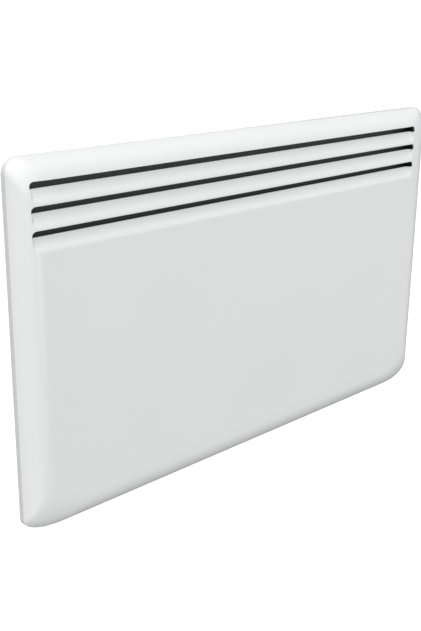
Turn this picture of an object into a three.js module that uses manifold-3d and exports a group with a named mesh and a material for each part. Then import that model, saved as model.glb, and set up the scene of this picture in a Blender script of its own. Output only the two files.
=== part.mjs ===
// Wall panel convector heater: a rolled-edge steel front panel with three pressed louvres, screwed
// to a shallow rear casing that holds a finned heating element, and hung on a wall bracket.
// Millimetres, +Z up. The wall is the plane Y = 0 and the room lies on the -Y side. The origin is
// the middle of the bracket's centre rail, on its back face.

import * as THREE from 'three';
import { mergeVertices } from 'three/addons/utils/BufferGeometryUtils.js';
import Module from 'manifold-3d';

const wasm = await Module();
wasm.setup();

// Clearances
const FIT = 0.3; // between two pieces that touch or slide
const SCREW_CLEARANCE = 0.3; // hole radius over shank radius

// Front panel
const PANEL_WIDTH = 675;
const PANEL_HEIGHT = 400;
const PANEL_SHEET = 1.2;
const FLANGE_DEPTH = 8;
const ROLL_RADIUS = 32.5; // soft roll between the flat face and the flange
const ROLL_ANGLE = THREE.MathUtils.degToRad(62);
const CORNER_RADIUS = 16;
const LOWER_CORNER_REACH = 45; // the lower corners are drawn out along the bottom edge
const LOWER_CORNER_RISE = 18;
const LIP_WIDTH = 9; // return lip behind the flange
const ROLL_STEPS = 7;
const CORNER_STEPS = 6;
const SMALL_CURVE_STEPS = 3; // in a quarter turn of any smaller corner

// Louvres
const LOUVRE_COUNT = 3;
const LOUVRE_PITCH = 23.8;
const FIRST_LIP_DROP = 22.4; // from the panel's top edge to the first lip
const LOUVRE_GAP = 8.7;
const LOUVRE_RECESS = 10;
const RAMP_HEIGHT = 14;
const RAMP_STEPS = 8;
const LOUVRE_INSET_LEFT = 17;
const LOUVRE_INSET_RIGHT = 36;
const LOUVRE_CORNER = 5;

// Rear casing
const WALL_GAP = 30; // from the wall to the casing's back
const CASING_DEPTH = 29;
const CASING_SHEET = 1;
const CASING_INSET = 2; // rim edge inside the panel's outline
const TRAY_INSET_LEFT = 22;
const TRAY_INSET_RIGHT = 95; // leaves room for the control housing
const TRAY_INSET_TOP = 22;
const TRAY_INSET_BOTTOM = 22;
const TRAY_CORNER = 12;
const INLET_COUNT = 8;
const INLET_LENGTH = 52;
const INLET_DEPTH = 14;
const INLET_MARGIN = 20; // from the tray's ends to the first and last inlet

// Wall bracket
const BRACKET_SHEET = 2;
const UPRIGHT_SPACING = 340;
const UPRIGHT_WIDTH = 34;
const RAIL_HEIGHT = 24;
const CENTRE_RAIL_HEIGHT = 50;
const RAIL_FOLD = 8; // stiffening fold along the outer rails
const HOOK_RISE = 50; // from the panel's bottom edge up to the hooks' seats
const HOOK_ARM_HEIGHT = 10;
const HOOK_NOSE_HEIGHT = 7;
const HOOK_NOSE_WIDTH = 4;
const HOOK_THROAT = 8.5;
const HOOK_LEAD = 2.5; // from the casing's back to the throat's rear wall
const HOOK_SHOULDER = 4;
const LINER_WALL = 1.2;
const WALL_SLOT_RADIUS = 3;
const WALL_SLOT_LENGTH = 14;

// Quarter-turn latches
const LATCH_DROP = 104; // from the panel's top edge down to the latch pivots
const LATCH_TAB_HEIGHT = 28;
const LATCH_PIVOT_RADIUS = 4;
const LATCH_BAR_LENGTH = 20;
const LATCH_BAR_WIDTH = 7;
const LATCH_BAR_THICKNESS = 3;
const LATCH_SLOT_CLEARANCE = 2;
const LEVER_LENGTH = 84;
const LEVER_WIDTH = 13;
const LEVER_THICKNESS = 3;
const LEVER_GRIP = 9; // height of the finger grip at the lever's end
const CLIP_RADIUS = 8;
const CLIP_THICKNESS = 1.2;

// Heating element
const ELEMENT_SETBACK = 4; // from the panel's rear plane back to the element's axis
const ELEMENT_RISE = 105; // from the panel's bottom edge up to the element's axis
const ROD_RADIUS = 4;
const ROD_END_MARGIN = 20; // from the tray's side walls to the rod's ends
const CORE_HALF = 8; // half the side of the square core
const FIN_HEIGHT = 58;
const FIN_DEPTH = 29;
const FIN_THICKNESS = 1;
const FIN_PITCH = 10;
const BUSH_RADIUS = 7;
const BUSH_FLANGE_RADIUS = 9.5;
const BUSH_FLANGE = 2.5;
const BUSH_OVERHANG = 5;
const SUPPORT_SHEET = 1;
const SUPPORT_HEIGHT = 46;
const SUPPORT_FOOT = 14;
const SUPPORT_FROM_ROD_END = 8;
const TERMINAL_RADIUS = 3;
const TERMINAL_STUB = 4;
const BLADE_WIDTH = 6.3;
const BLADE_THICKNESS = 0.8;
const BLADE_LENGTH = 8;

// Heat shield and thermal cut-out
const SHIELD_SHEET = 0.8;
const SHIELD_STANDOFF = 5;
const SHIELD_FOOT_RADIUS = 5;
const SHIELD_DROP = 140; // from the panel's top edge down to the shield
const SHIELD_RISE = 65; // from the panel's bottom edge up to the shield
const SHIELD_SIDE_GAP = 5;
const SHIELD_FOOT_INSET_X = 70;
const SHIELD_FOOT_INSET_Z = 14;
const CUTOUT_X = 60;
const CUTOUT_DROP = 40; // from the shield's top edge
const CUTOUT_RADIUS = 8;
const CUTOUT_HEIGHT = 6;
const CUTOUT_CLIP_WIDTH = 8;
const CUTOUT_CLIP_FOOT = 7;

// Air deflector
const DEFLECTOR_SHEET = 0.8;
const DEFLECTOR_INSET = 12;
const DEFLECTOR_FALL = 79; // from its top edge to the start of the curl
const CURL_BACK = 10;
const CURL_DROP = 12;

// Control housing, on the back of the casing's rim at the right-hand end
const HOUSING_GAP = 0.5; // between the tray's side wall and the housing
const HOUSING_EDGE_INSET = 12.5; // from the panel's right edge
const HOUSING_RISE = 15; // from the panel's bottom edge
const HOUSING_HEIGHT = 150;
const HOUSING_WALL = 2.2;
const HOUSING_BACK_INSET = 1; // its back lies this far in front of the casing's back
const HOUSING_CORNER = 4;
const COVER_THICKNESS = 2.2;
const BOSS_RADIUS = 4;
const LOWER_BOSS_RISE = 35; // heights from here on are from the housing's lower face
const DIAL_RISE = 109;
const DIAL_RADIUS = 10.5;
const DIAL_HEIGHT = 9;
const DIAL_FLUTES = 18;
const DIAL_FLUTE_DEPTH = 0.7;
const SHAFT_RADIUS = 3;
const THERMOSTAT_WIDTH = 24;
const THERMOSTAT_DEPTH = 20;
const SWITCH_RISE = 70;
const SWITCH_LENGTH = 19;
const SWITCH_WIDTH = 13;
const SWITCH_BODY_DEPTH = 22;
const BEZEL_OVERLAP = 1;
const BEZEL_THICKNESS = 2;
const ROCKER_HALF_LENGTH = 7.4;
const ROCKER_REST_TILT = THREE.MathUtils.degToRad(8);
const ROCKER_PIVOT_DEPTH = 2.5; // below the housing's outer face
const LENS_RISE = 45;
const LENS_RADIUS = 2.8;
const LENS_FLANGE_RADIUS = 3.9;
const LENS_LENGTH = 12;
const LENS_WALL = 2; // from the housing's face back to the lens's bore
const LAMP_RADIUS = 1.8;
const BLOCK_LENGTH = 38;
const BLOCK_HEIGHT = 18;
const BLOCK_DEPTH = 13;
const BLOCK_POLES = 3;
const GLAND_INSET = 25; // from the housing's inner end
const GLAND_BORE = 3.6;
const GLAND_RADIUS = 6.7;
const GLAND_FLANGE_RADIUS = 9.5;
const GLAND_FLANGE = 2.4;
const BULB_RADIUS = 2.5;
const BULB_LENGTH = 34;
const BULB_INSET = 43; // from the housing's outer end to the bulb's far end
const CAPILLARY_RADIUS = 0.9;
const VENT_COUNT = 5;
const VENT_WIDTH = 3;
const VENT_LENGTH = 14;
const VENT_PITCH = 6;
const GROMMET_RADIUS = 6.7;
const GROMMET_BORE = 5;
const GROMMET_FLANGE_RADIUS = 9;
const GROMMET_DROP = 15; // from the housing's top
const LEAD_RADIUS = 1.2;
const LEAD_SPREAD = 2.7; // from the grommet's axis to each lead
const HEAT_LEAD_BEND = [40, 12]; // in from the tray's wall and up from the grommet
const BRIDGE_LEAD_BEND = [20, 45]; // in from the rod's end and up from the support
const EARTH_INSET = 27; // from the tray's wall to the earth screw
const EARTH_LIFT = 40; // from the grommet up to the earth screw

// Fasteners
const SCREW_RADIUS = 1.5;
const SCREW_HEAD_RADIUS = 3.5;
const SCREW_HEAD_HEIGHT = 2.2;
const RIM_SCREW_INSET = 5.5;
const RIM_SCREW_SPACING = 400;
const RIVET_HEAD_RADIUS = 3;
const RIVET_HEAD_HEIGHT = 1.3;

// Places that follow from the sizes above
const LEFT = -PANEL_WIDTH / 2;
const RIGHT = PANEL_WIDTH / 2;
const TOP = PANEL_HEIGHT / 2;
const BOTTOM = -PANEL_HEIGHT / 2;
const ROLL_WIDTH = ROLL_RADIUS * Math.sin(ROLL_ANGLE);
const PANEL_REAR = -(WALL_GAP + CASING_DEPTH);
const PANEL_FRONT = PANEL_REAR - FLANGE_DEPTH - ROLL_RADIUS * (1 - Math.cos(ROLL_ANGLE));
const LOUVRE_X = [LEFT + LOUVRE_INSET_LEFT, RIGHT - LOUVRE_INSET_RIGHT];
const RIM_FRONT = PANEL_REAR + FIT;
const RIM_BACK = RIM_FRONT + CASING_SHEET;
const CASING_BACK = -WALL_GAP;
const CASING_INNER = CASING_BACK - CASING_SHEET;
const TRAY_X = [LEFT + TRAY_INSET_LEFT, RIGHT - TRAY_INSET_RIGHT];
const TRAY_Z = [BOTTOM + TRAY_INSET_BOTTOM, TOP - TRAY_INSET_TOP];
const HOOK_Z = BOTTOM + HOOK_RISE;
const LATCH_Z = TOP - LATCH_DROP;
const UPRIGHT_X = UPRIGHT_SPACING / 2;
const HOOK_X = UPRIGHT_X + UPRIGHT_WIDTH / 2 - BRACKET_SHEET / 2;
const HOOK_SLOT_HEIGHT = HOOK_ARM_HEIGHT + HOOK_NOSE_HEIGHT + 4;
const LEVER_FRONT = CASING_BACK + 0.7;
const LEVER_BACK = LEVER_FRONT + LEVER_THICKNESS;
const TAB_FRONT = LEVER_BACK + FIT;
const TAB_BACK = TAB_FRONT + BRACKET_SHEET;
const ROD_X = [TRAY_X[0] + CASING_SHEET + ROD_END_MARGIN, TRAY_X[1] - CASING_SHEET - ROD_END_MARGIN];
const ELEMENT_Y = PANEL_REAR + ELEMENT_SETBACK;
const ELEMENT_Z = BOTTOM + ELEMENT_RISE;
const SHIELD_TOP = TOP - SHIELD_DROP;
const SHIELD_BOTTOM = BOTTOM + SHIELD_RISE;
const CUTOUT_Z = SHIELD_TOP - CUTOUT_DROP;
const SHIELD_BACK = CASING_INNER - SHIELD_STANDOFF;
const SHIELD_FRONT = SHIELD_BACK - SHIELD_SHEET;
const SUPPORT_INNER = SUPPORT_FROM_ROD_END + SUPPORT_SHEET;
const SHIELD_X = [ROD_X[0] + SUPPORT_INNER + SHIELD_SIDE_GAP, ROD_X[1] - SUPPORT_INNER - SHIELD_SIDE_GAP];
const HOUSING_X = [TRAY_X[1] + HOUSING_GAP, RIGHT - HOUSING_EDGE_INSET];
const HOUSING_Y = [RIM_BACK + FIT, CASING_BACK - HOUSING_BACK_INSET];
const HOUSING_BOTTOM = BOTTOM + HOUSING_RISE;
const HOUSING_TOP = HOUSING_BOTTOM + HOUSING_HEIGHT;
const DIAL_Z = HOUSING_BOTTOM + DIAL_RISE;
const SWITCH_Z = HOUSING_BOTTOM + SWITCH_RISE;
const LENS_Z = HOUSING_BOTTOM + LENS_RISE;
const HOUSING_FLOOR = HOUSING_Y[0] + HOUSING_WALL;
const CONTROL_Y = (HOUSING_Y[0] + HOUSING_Y[1]) / 2;
const COVER_FRONT = HOUSING_Y[1] - COVER_THICKNESS;
const GROMMET_Y = CONTROL_Y;
const GROMMET_Z = HOUSING_TOP - GROMMET_DROP;

// Geometry helpers -------------------------------------------------------------------------

// A closed three.js geometry as a solid that can be joined and cut.
function solid(geometry) {
  const bare = geometry.clone();
  bare.deleteAttribute('normal');
  bare.deleteAttribute('uv');
  const merged = mergeVertices(bare, 1e-4);
  return new wasm.Manifold(new wasm.Mesh({
    numProp: 3,
    vertProperties: new Float32Array(merged.attributes.position.array),
    triVerts: new Uint32Array(merged.index.array),
  }));
}

function join(pieces) {
  return pieces.reduce((whole, piece) => whole.add(piece));
}

function cut(whole, tools) {
  return tools.reduce((rest, tool) => rest.subtract(tool), whole);
}

// A block between two values on each axis.
function box([x0, x1], [y0, y1], [z0, z1]) {
  const geometry = new THREE.BoxGeometry(x1 - x0, y1 - y0, z1 - z0);
  geometry.translate((x0 + x1) / 2, (y0 + y1) / 2, (z0 + z1) / 2);
  return solid(geometry);
}

// A cylinder along an axis, between two values on it, through the point that centre names.
function cylinder(axis, centre, [from, to], radius, sides = 12) {
  const geometry = new THREE.CylinderGeometry(radius, radius, to - from, sides);
  const middle = (from + to) / 2;
  if (axis === 'x') {
    geometry.rotateZ(-Math.PI / 2);
    geometry.translate(middle, centre.y, centre.z);
  } else if (axis === 'y') {
    geometry.translate(centre.x, middle, centre.z);
  } else {
    geometry.rotateX(Math.PI / 2);
    geometry.translate(centre.x, centre.y, middle);
  }
  return solid(geometry);
}

const X_AXIS = new THREE.Vector3(1, 0, 0);
const Y_AXIS = new THREE.Vector3(0, 1, 0);
const Z_AXIS = new THREE.Vector3(0, 0, 1);

// A shape swept straight along an axis. The shape is drawn in (y, z) for x, in (x, z) for y, and
// in (x, y) for z.
function prism(axis, shape, [from, to]) {
  const options = { depth: to - from, bevelEnabled: false, curveSegments: SMALL_CURVE_STEPS };
  const geometry = new THREE.ExtrudeGeometry(shape, options);
  const place = new THREE.Matrix4();
  if (axis === 'x') {
    place.makeBasis(Y_AXIS, Z_AXIS, X_AXIS).setPosition(from, 0, 0);
  } else if (axis === 'y') {
    place.makeBasis(X_AXIS, Z_AXIS, Y_AXIS.clone().negate()).setPosition(0, to, 0);
  } else {
    place.setPosition(0, 0, from);
  }
  return solid(geometry.applyMatrix4(place));
}

function outline(points) {
  return new THREE.Shape(points.map(([u, v]) => new THREE.Vector2(u, v)));
}

function roundedRectangle([u0, u1], [v0, v1], radius) {
  const shape = new THREE.Shape();
  shape.absarc(u1 - radius, v0 + radius, radius, -Math.PI / 2, 0);
  shape.absarc(u1 - radius, v1 - radius, radius, 0, Math.PI / 2);
  shape.absarc(u0 + radius, v1 - radius, radius, Math.PI / 2, Math.PI);
  shape.absarc(u0 + radius, v0 + radius, radius, Math.PI, Math.PI * 1.5);
  return shape;
}

// A solid through closed rings of points that run from the rear to the front.
function loft(rings) {
  const count = rings[0].length;
  const index = [];
  for (let ring = 0; ring < rings.length - 1; ring += 1) {
    for (let i = 0; i < count; i += 1) {
      const a = ring * count + i;
      const b = ring * count + ((i + 1) % count);
      index.push(a, b, b + count, a, b + count, a + count);
    }
  }
  const last = (rings.length - 1) * count;
  for (let i = 1; i < count - 1; i += 1) {
    index.push(0, i + 1, i, last, last + i, last + i + 1);
  }
  const geometry = new THREE.BufferGeometry().setFromPoints(rings.flat());
  geometry.setIndex(index);
  return solid(geometry);
}

// A round tube along a smooth curve through the given points.
function tube(points, radius, steps, sides = 6) {
  const path = new THREE.CatmullRomCurve3(points.map((p) => new THREE.Vector3(...p)), false, 'centripetal');
  const section = new THREE.Shape();
  for (let i = 0; i < sides; i += 1) {
    const angle = (i / sides) * Math.PI * 2;
    const point = [radius * Math.cos(angle), radius * Math.sin(angle)];
    if (i === 0) {
      section.moveTo(...point);
    } else {
      section.lineTo(...point);
    }
  }
  section.closePath();
  return solid(new THREE.ExtrudeGeometry(section, { steps, bevelEnabled: false, extrudePath: path }));
}

// Scene graph helpers ----------------------------------------------------------------------

const FINISHES = {
  white_powder_coat: { color: 0xd9dcda, roughness: 0.45, metalness: 0 },
  dark_powder_coat: { color: 0x3d403e, roughness: 0.6, metalness: 0 },
  zinc_plate: { color: 0xa9adb0, roughness: 0.4, metalness: 0.9 },
  aluminised_steel: { color: 0xc2c4c5, roughness: 0.35, metalness: 0.9 },
  aluminium: { color: 0xb9bcbf, roughness: 0.4, metalness: 0.9 },
  element_sheath: { color: 0x6d6a64, roughness: 0.5, metalness: 0.8 },
  ceramic: { color: 0xe9e4d8, roughness: 0.6, metalness: 0 },
  nickel: { color: 0xb7b4aa, roughness: 0.3, metalness: 1 },
  white_plastic: { color: 0xe4e5e3, roughness: 0.5, metalness: 0 },
  grey_plastic: { color: 0x8d9194, roughness: 0.5, metalness: 0 },
  black_plastic: { color: 0x222324, roughness: 0.5, metalness: 0 },
  black_rubber: { color: 0x1d1d1d, roughness: 0.8, metalness: 0 },
  amber_lens: { color: 0xe87a1a, roughness: 0.2, metalness: 0 },
  lamp_glass: { color: 0xdfe3e0, roughness: 0.1, metalness: 0 },
  copper: { color: 0xb87548, roughness: 0.35, metalness: 1 },
  brown_lead: { color: 0x5a3a26, roughness: 0.6, metalness: 0 },
  blue_lead: { color: 0x2f5f9e, roughness: 0.6, metalness: 0 },
  earth_lead: { color: 0x7f9a2e, roughness: 0.6, metalness: 0 },
};

const heater = new THREE.Group();

function add(name, shape, finish) {
  const data = shape.getMesh();
  const geometry = new THREE.BufferGeometry();
  geometry.setAttribute('position', new THREE.BufferAttribute(data.vertProperties, 3));
  geometry.setIndex(new THREE.BufferAttribute(data.triVerts, 1));
  geometry.computeVertexNormals();
  const mesh = new THREE.Mesh(geometry, new THREE.MeshStandardMaterial(FINISHES[finish]));
  mesh.name = name;
  heater.add(mesh);
  return mesh;
}

// A pan-head screw along Y: the head's seat is at the given y and the shank runs towards -Y
// where reach is negative.
function screw(x, seat, z, reach) {
  const away = -Math.sign(reach);
  const head = [seat + away * FIT, seat + away * (FIT + SCREW_HEAD_HEIGHT)].sort((a, b) => a - b);
  const shank = [seat + away * (FIT + SCREW_HEAD_HEIGHT / 2), seat + reach].sort((a, b) => a - b);
  return join([
    cylinder('y', { x, z }, head, SCREW_HEAD_RADIUS, 12),
    cylinder('y', { x, z }, shank, SCREW_RADIUS, 8),
  ]);
}

function screwHole(x, z, span) {
  return cylinder('y', { x, z }, span, SCREW_RADIUS + SCREW_CLEARANCE, 8);
}

// Shared layouts ---------------------------------------------------------------------------

const RIM_SCREWS = [
  [-RIM_SCREW_SPACING / 2, TOP - RIM_SCREW_INSET],
  [RIM_SCREW_SPACING / 2, TOP - RIM_SCREW_INSET],
  [-RIM_SCREW_SPACING / 2, BOTTOM + RIM_SCREW_INSET],
  [RIM_SCREW_SPACING / 2, BOTTOM + RIM_SCREW_INSET],
  [LEFT + RIM_SCREW_INSET, 0],
  [RIGHT - RIM_SCREW_INSET, 0],
];

const DEFLECTOR_TOP = TOP - LIP_WIDTH - 1;
const DEFLECTOR_SCREW_Z = (DEFLECTOR_TOP + TRAY_Z[1]) / 2;
const DEFLECTOR_SCREWS = [
  [-RIM_SCREW_SPACING / 4, DEFLECTOR_SCREW_Z],
  [RIM_SCREW_SPACING / 4, DEFLECTOR_SCREW_Z],
];

const SHIELD_FEET_X = [SHIELD_X[0] + SHIELD_FOOT_INSET_X, SHIELD_X[1] - SHIELD_FOOT_INSET_X];
const SHIELD_FEET_Z = [SHIELD_TOP - SHIELD_FOOT_INSET_Z, SHIELD_BOTTOM + SHIELD_FOOT_INSET_Z];

// Each element support stands outside the shield, its foot turned away from the element.
const SUPPORTS = [
  { side: 'left', away: -1, end: ROD_X[0] },
  { side: 'right', away: 1, end: ROD_X[1] },
].map((support) => ({
  ...support,
  plate: support.end - support.away * SUPPORT_FROM_ROD_END,
  footScrewX: support.end - support.away * (SUPPORT_FROM_ROD_END - SUPPORT_FOOT / 2 - 1),
}));
const SUPPORT_SCREW_Z = ELEMENT_Z - SUPPORT_HEIGHT / 2 + 8;

const EARTH = { x: TRAY_X[1] - EARTH_INSET, z: GROMMET_Z + EARTH_LIFT };

const COVER_BOSSES = [
  [HOUSING_X[1] - 8.5, HOUSING_TOP - 8],
  [HOUSING_X[0] + 7.5, HOUSING_BOTTOM + LOWER_BOSS_RISE],
];
const HOUSING_SCREWS = [
  [HOUSING_X[1] - 22, HOUSING_TOP - 10],
  [HOUSING_X[0] + 9, HOUSING_BOTTOM + 9],
];
const GLAND_X = HOUSING_X[0] + GLAND_INSET;
const BULB_X = [HOUSING_X[1] - BULB_INSET, HOUSING_X[1] - BULB_INSET + BULB_LENGTH];
const BULB_Z = HOUSING_BOTTOM + 10;
const BLOCK_X = [HOUSING_X[0] + 13, HOUSING_X[0] + 13 + BLOCK_LENGTH];
const BLOCK_Z = [HOUSING_BOTTOM + 25, HOUSING_BOTTOM + 25 + BLOCK_HEIGHT];
const THERMOSTAT_X = [HOUSING_X[1] - 5 - THERMOSTAT_WIDTH, HOUSING_X[1] - 5];
const SWITCH_X = [HOUSING_X[1] - SWITCH_BODY_DEPTH, HOUSING_X[1] + FIT];

// Front panel and its air outlet -----------------------------------------------------------

// One ring of the panel's form, at a distance inside its outline. The corners keep their size
// but for the given shrink.
function panelRing(inset, y, shrink) {
  const round = CORNER_RADIUS - shrink;
  const reach = LOWER_CORNER_REACH - shrink;
  const rise = LOWER_CORNER_RISE - shrink;
  const corners = [[1, 1, round, round], [-1, 1, round, round], [-1, -1, reach, rise], [1, -1, reach, rise]];
  const ring = [];
  corners.forEach(([sideX, sideZ, wide, tall], corner) => {
    const x = sideX * (RIGHT - inset - wide);
    const z = sideZ * (TOP - inset - tall);
    for (let i = 0; i <= CORNER_STEPS; i += 1) {
      const angle = (corner + i / CORNER_STEPS) * (Math.PI / 2);
      ring.push(new THREE.Vector3(x + wide * Math.cos(angle), y, z + tall * Math.sin(angle)));
    }
  });
  return ring;
}

// The panel's outline as a flat shape, moved inwards with its corners.
function panelOutline(inset) {
  return outline(panelRing(inset, 0, inset).map(({ x, z }) => [x, z]));
}

// The pressed dish, moved inwards by a thickness, with its back at the given y.
function panelForm(offset, rear) {
  const radius = ROLL_RADIUS - offset;
  const sweep = Math.asin((ROLL_WIDTH - offset) / radius);
  const rings = [panelRing(offset, rear, offset)];
  for (let step = 0; step <= ROLL_STEPS; step += 1) {
    const angle = sweep * (1 - step / ROLL_STEPS);
    const inset = ROLL_WIDTH - radius * Math.sin(angle);
    const y = PANEL_FRONT + ROLL_RADIUS - radius * Math.cos(angle);
    rings.push(panelRing(inset, y, offset));
  }
  return loft(rings);
}

// The ramp below a slot, from its recessed top edge out to the face, as (y, z) points.
function rampPoints(lip, offset) {
  const points = [];
  for (let step = 0; step <= RAMP_STEPS; step += 1) {
    const s = step / RAMP_STEPS;
    const depth = LOUVRE_RECESS * (1 - s * s * (3 - 2 * s));
    points.push([PANEL_FRONT + depth + offset, lip - LOUVRE_GAP - RAMP_HEIGHT * s]);
  }
  return points;
}

// The ramp's sheet and the walls that close the louvre's ends.
function louvrePocket(lip, form) {
  const back = rampPoints(lip, PANEL_SHEET);
  const end = back[back.length - 1];
  const section = [[PANEL_FRONT, lip], [back[0][0], lip], ...back, [PANEL_FRONT, end[1]]];
  const span = [LOUVRE_X[0] - PANEL_SHEET, LOUVRE_X[1] + PANEL_SHEET];
  return prism('x', outline(section), span).intersect(form);
}

function louvreCutter(lip) {
  const ramp = rampPoints(lip, 0);
  const end = ramp[ramp.length - 1];
  const before = ramp[ramp.length - 2];
  const clear = PANEL_FRONT - ROLL_RADIUS;
  const behind = PANEL_FRONT + LOUVRE_RECESS + PANEL_SHEET * 3;
  const past = [2 * end[0] - before[0], 2 * end[1] - before[1]];
  const section = [[clear, lip], [behind, lip], [behind, ramp[0][1]], ...ramp, past, [clear, past[1]]];
  const tall = [past[1] - LOUVRE_CORNER * 2, lip];
  const window = roundedRectangle(LOUVRE_X, tall, LOUVRE_CORNER);
  return prism('x', outline(section), LOUVRE_X).intersect(prism('y', window, [clear - 1, behind + 1]));
}

function frontPanel() {
  const outer = panelForm(0, PANEL_REAR);
  const inner = panelForm(PANEL_SHEET, PANEL_REAR - PANEL_SHEET);
  const lipSpan = [PANEL_REAR - PANEL_SHEET * 2, PANEL_REAR + 1];
  let panel = cut(outer, [inner, prism('y', panelOutline(LIP_WIDTH), lipSpan)]);
  const buried = outer.translate([0, PANEL_SHEET * 0.4, 0]);
  for (let i = 0; i < LOUVRE_COUNT; i += 1) {
    const lip = TOP - FIRST_LIP_DROP - i * LOUVRE_PITCH;
    panel = panel.add(louvrePocket(lip, buried));
  }
  for (let i = 0; i < LOUVRE_COUNT; i += 1) {
    panel = panel.subtract(louvreCutter(TOP - FIRST_LIP_DROP - i * LOUVRE_PITCH));
  }
  return cut(panel, RIM_SCREWS.map(([x, z]) => screwHole(x, z, lipSpan)));
}

// A dark sheet behind the louvres. Its top is screwed to the rim and its lower edge curls back
// into the tray to catch the rising air.
function airDeflector() {
  const face = [PANEL_REAR - DEFLECTOR_SHEET, PANEL_REAR];
  const foot = DEFLECTOR_TOP - DEFLECTOR_FALL;
  const sheetShape = roundedRectangle(
    [LEFT + DEFLECTOR_INSET, RIGHT - DEFLECTOR_INSET],
    [foot, DEFLECTOR_TOP],
    CORNER_RADIUS - LIP_WIDTH,
  );
  const sheet = prism('y', sheetShape, face);
  const curl = outline([
    [face[0], foot],
    [face[0] + CURL_BACK, foot - CURL_DROP],
    [face[1] + CURL_BACK, foot - CURL_DROP],
    [face[1], foot + 1],
    [face[0], foot + 1],
  ]);
  const inside = [TRAY_X[0] + TRAY_CORNER, TRAY_X[1] - TRAY_CORNER];
  const holes = DEFLECTOR_SCREWS.map(([x, z]) => screwHole(x, z, [face[0] - 1, face[1] + 1]));
  return cut(join([sheet, prism('x', curl, inside)]), holes);
}

// Rear casing ------------------------------------------------------------------------------

function inletCutters() {
  const first = TRAY_X[0] + INLET_MARGIN;
  const last = TRAY_X[1] - INLET_MARGIN - INLET_LENGTH;
  const middle = (RIM_BACK + CASING_INNER) / 2;
  const cutters = [];
  for (let i = 0; i < INLET_COUNT; i += 1) {
    const x = first + ((last - first) * i) / (INLET_COUNT - 1);
    const slot = roundedRectangle(
      [x, x + INLET_LENGTH],
      [middle - INLET_DEPTH / 2, middle + INLET_DEPTH / 2],
      INLET_DEPTH / 3,
    );
    cutters.push(prism('z', slot, [TRAY_Z[0] - 1, TRAY_Z[0] + CASING_SHEET + 1]));
  }
  return cutters;
}

function casingCutters() {
  const back = [CASING_INNER - 1, CASING_BACK + 1];
  const barLong = LATCH_BAR_LENGTH / 2 + LATCH_SLOT_CLEARANCE;
  const barWide = LATCH_BAR_WIDTH / 2 + LATCH_SLOT_CLEARANCE / 2;
  const cutters = [];
  [-1, 1].forEach((side) => {
    const arm = side * HOOK_X;
    const half = BRACKET_SHEET / 2 + LINER_WALL + 2;
    const latch = side * UPRIGHT_X;
    cutters.push(box([arm - half, arm + half], back, [HOOK_Z - HOOK_SLOT_HEIGHT, HOOK_Z]));
    const latchSlot = roundedRectangle(
      [latch - barLong, latch + barLong],
      [LATCH_Z - barWide, LATCH_Z + barWide],
      2,
    );
    cutters.push(prism('y', latchSlot, back));
  });
  SHIELD_FEET_X.forEach((x) => cutters.push(screwHole(x, SHIELD_FEET_Z[0], back)));
  SUPPORTS.forEach(({ footScrewX }) => cutters.push(screwHole(footScrewX, SUPPORT_SCREW_Z, back)));
  cutters.push(screwHole(EARTH.x, EARTH.z, back));
  const sideWall = [TRAY_X[1] - CASING_SHEET - 1, TRAY_X[1] + 1];
  cutters.push(cylinder('x', { y: GROMMET_Y, z: GROMMET_Z }, sideWall, GROMMET_RADIUS + FIT, 20));
  return cutters;
}

function rearCasing() {
  const rim = prism('y', panelOutline(CASING_INSET), [RIM_FRONT, RIM_BACK]);
  const tray = prism('y', roundedRectangle(TRAY_X, TRAY_Z, TRAY_CORNER), [RIM_FRONT, CASING_BACK]);
  const inX = [TRAY_X[0] + CASING_SHEET, TRAY_X[1] - CASING_SHEET];
  const inZ = [TRAY_Z[0] + CASING_SHEET, TRAY_Z[1] - CASING_SHEET];
  const hollowShape = roundedRectangle(inX, inZ, TRAY_CORNER - CASING_SHEET);
  const hollow = prism('y', hollowShape, [RIM_FRONT - 1, CASING_INNER]);
  const rimSpan = [RIM_FRONT - 1, RIM_BACK + 1];
  const rimHoles = [...RIM_SCREWS, ...DEFLECTOR_SCREWS, ...HOUSING_SCREWS]
    .map(([x, z]) => screwHole(x, z, rimSpan));
  return cut(join([rim, tray]), [hollow, ...inletCutters(), ...casingCutters(), ...rimHoles]);
}

// Heating element --------------------------------------------------------------------------

const CORE_X = [
  ROD_X[0] + SUPPORT_INNER + FIT + BUSH_FLANGE + FIT,
  ROD_X[1] - SUPPORT_INNER - FIT - BUSH_FLANGE - FIT,
];
const ELEMENT_AXIS = { y: ELEMENT_Y, z: ELEMENT_Z };

// The cast aluminium body: a bored core with upright fins across it.
function elementFins() {
  const finRun = CORE_X[1] - CORE_X[0] - FIN_THICKNESS - 4;
  const gaps = Math.floor(finRun / FIN_PITCH);
  const first = (CORE_X[0] + CORE_X[1]) / 2 - (gaps * FIN_PITCH) / 2;
  const pieces = [box(
    CORE_X,
    [ELEMENT_Y - CORE_HALF, ELEMENT_Y + CORE_HALF],
    [ELEMENT_Z - CORE_HALF, ELEMENT_Z + CORE_HALF],
  )];
  for (let i = 0; i <= gaps; i += 1) {
    const x = first + i * FIN_PITCH;
    pieces.push(box(
      [x - FIN_THICKNESS / 2, x + FIN_THICKNESS / 2],
      [ELEMENT_Y - FIN_DEPTH / 2, ELEMENT_Y + FIN_DEPTH / 2],
      [ELEMENT_Z - FIN_HEIGHT / 2, ELEMENT_Z + FIN_HEIGHT / 2],
    ));
  }
  const bore = cylinder('x', ELEMENT_AXIS, [CORE_X[0] - 1, CORE_X[1] + 1], ROD_RADIUS + FIT);
  return cut(join(pieces), [bore]);
}

// Where a support's parts lie, measured inwards from the rod's end.
function fromEnd(support, near, far) {
  const ends = [support.end - support.away * near, support.end - support.away * far];
  return ends.sort((a, b) => a - b);
}

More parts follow.
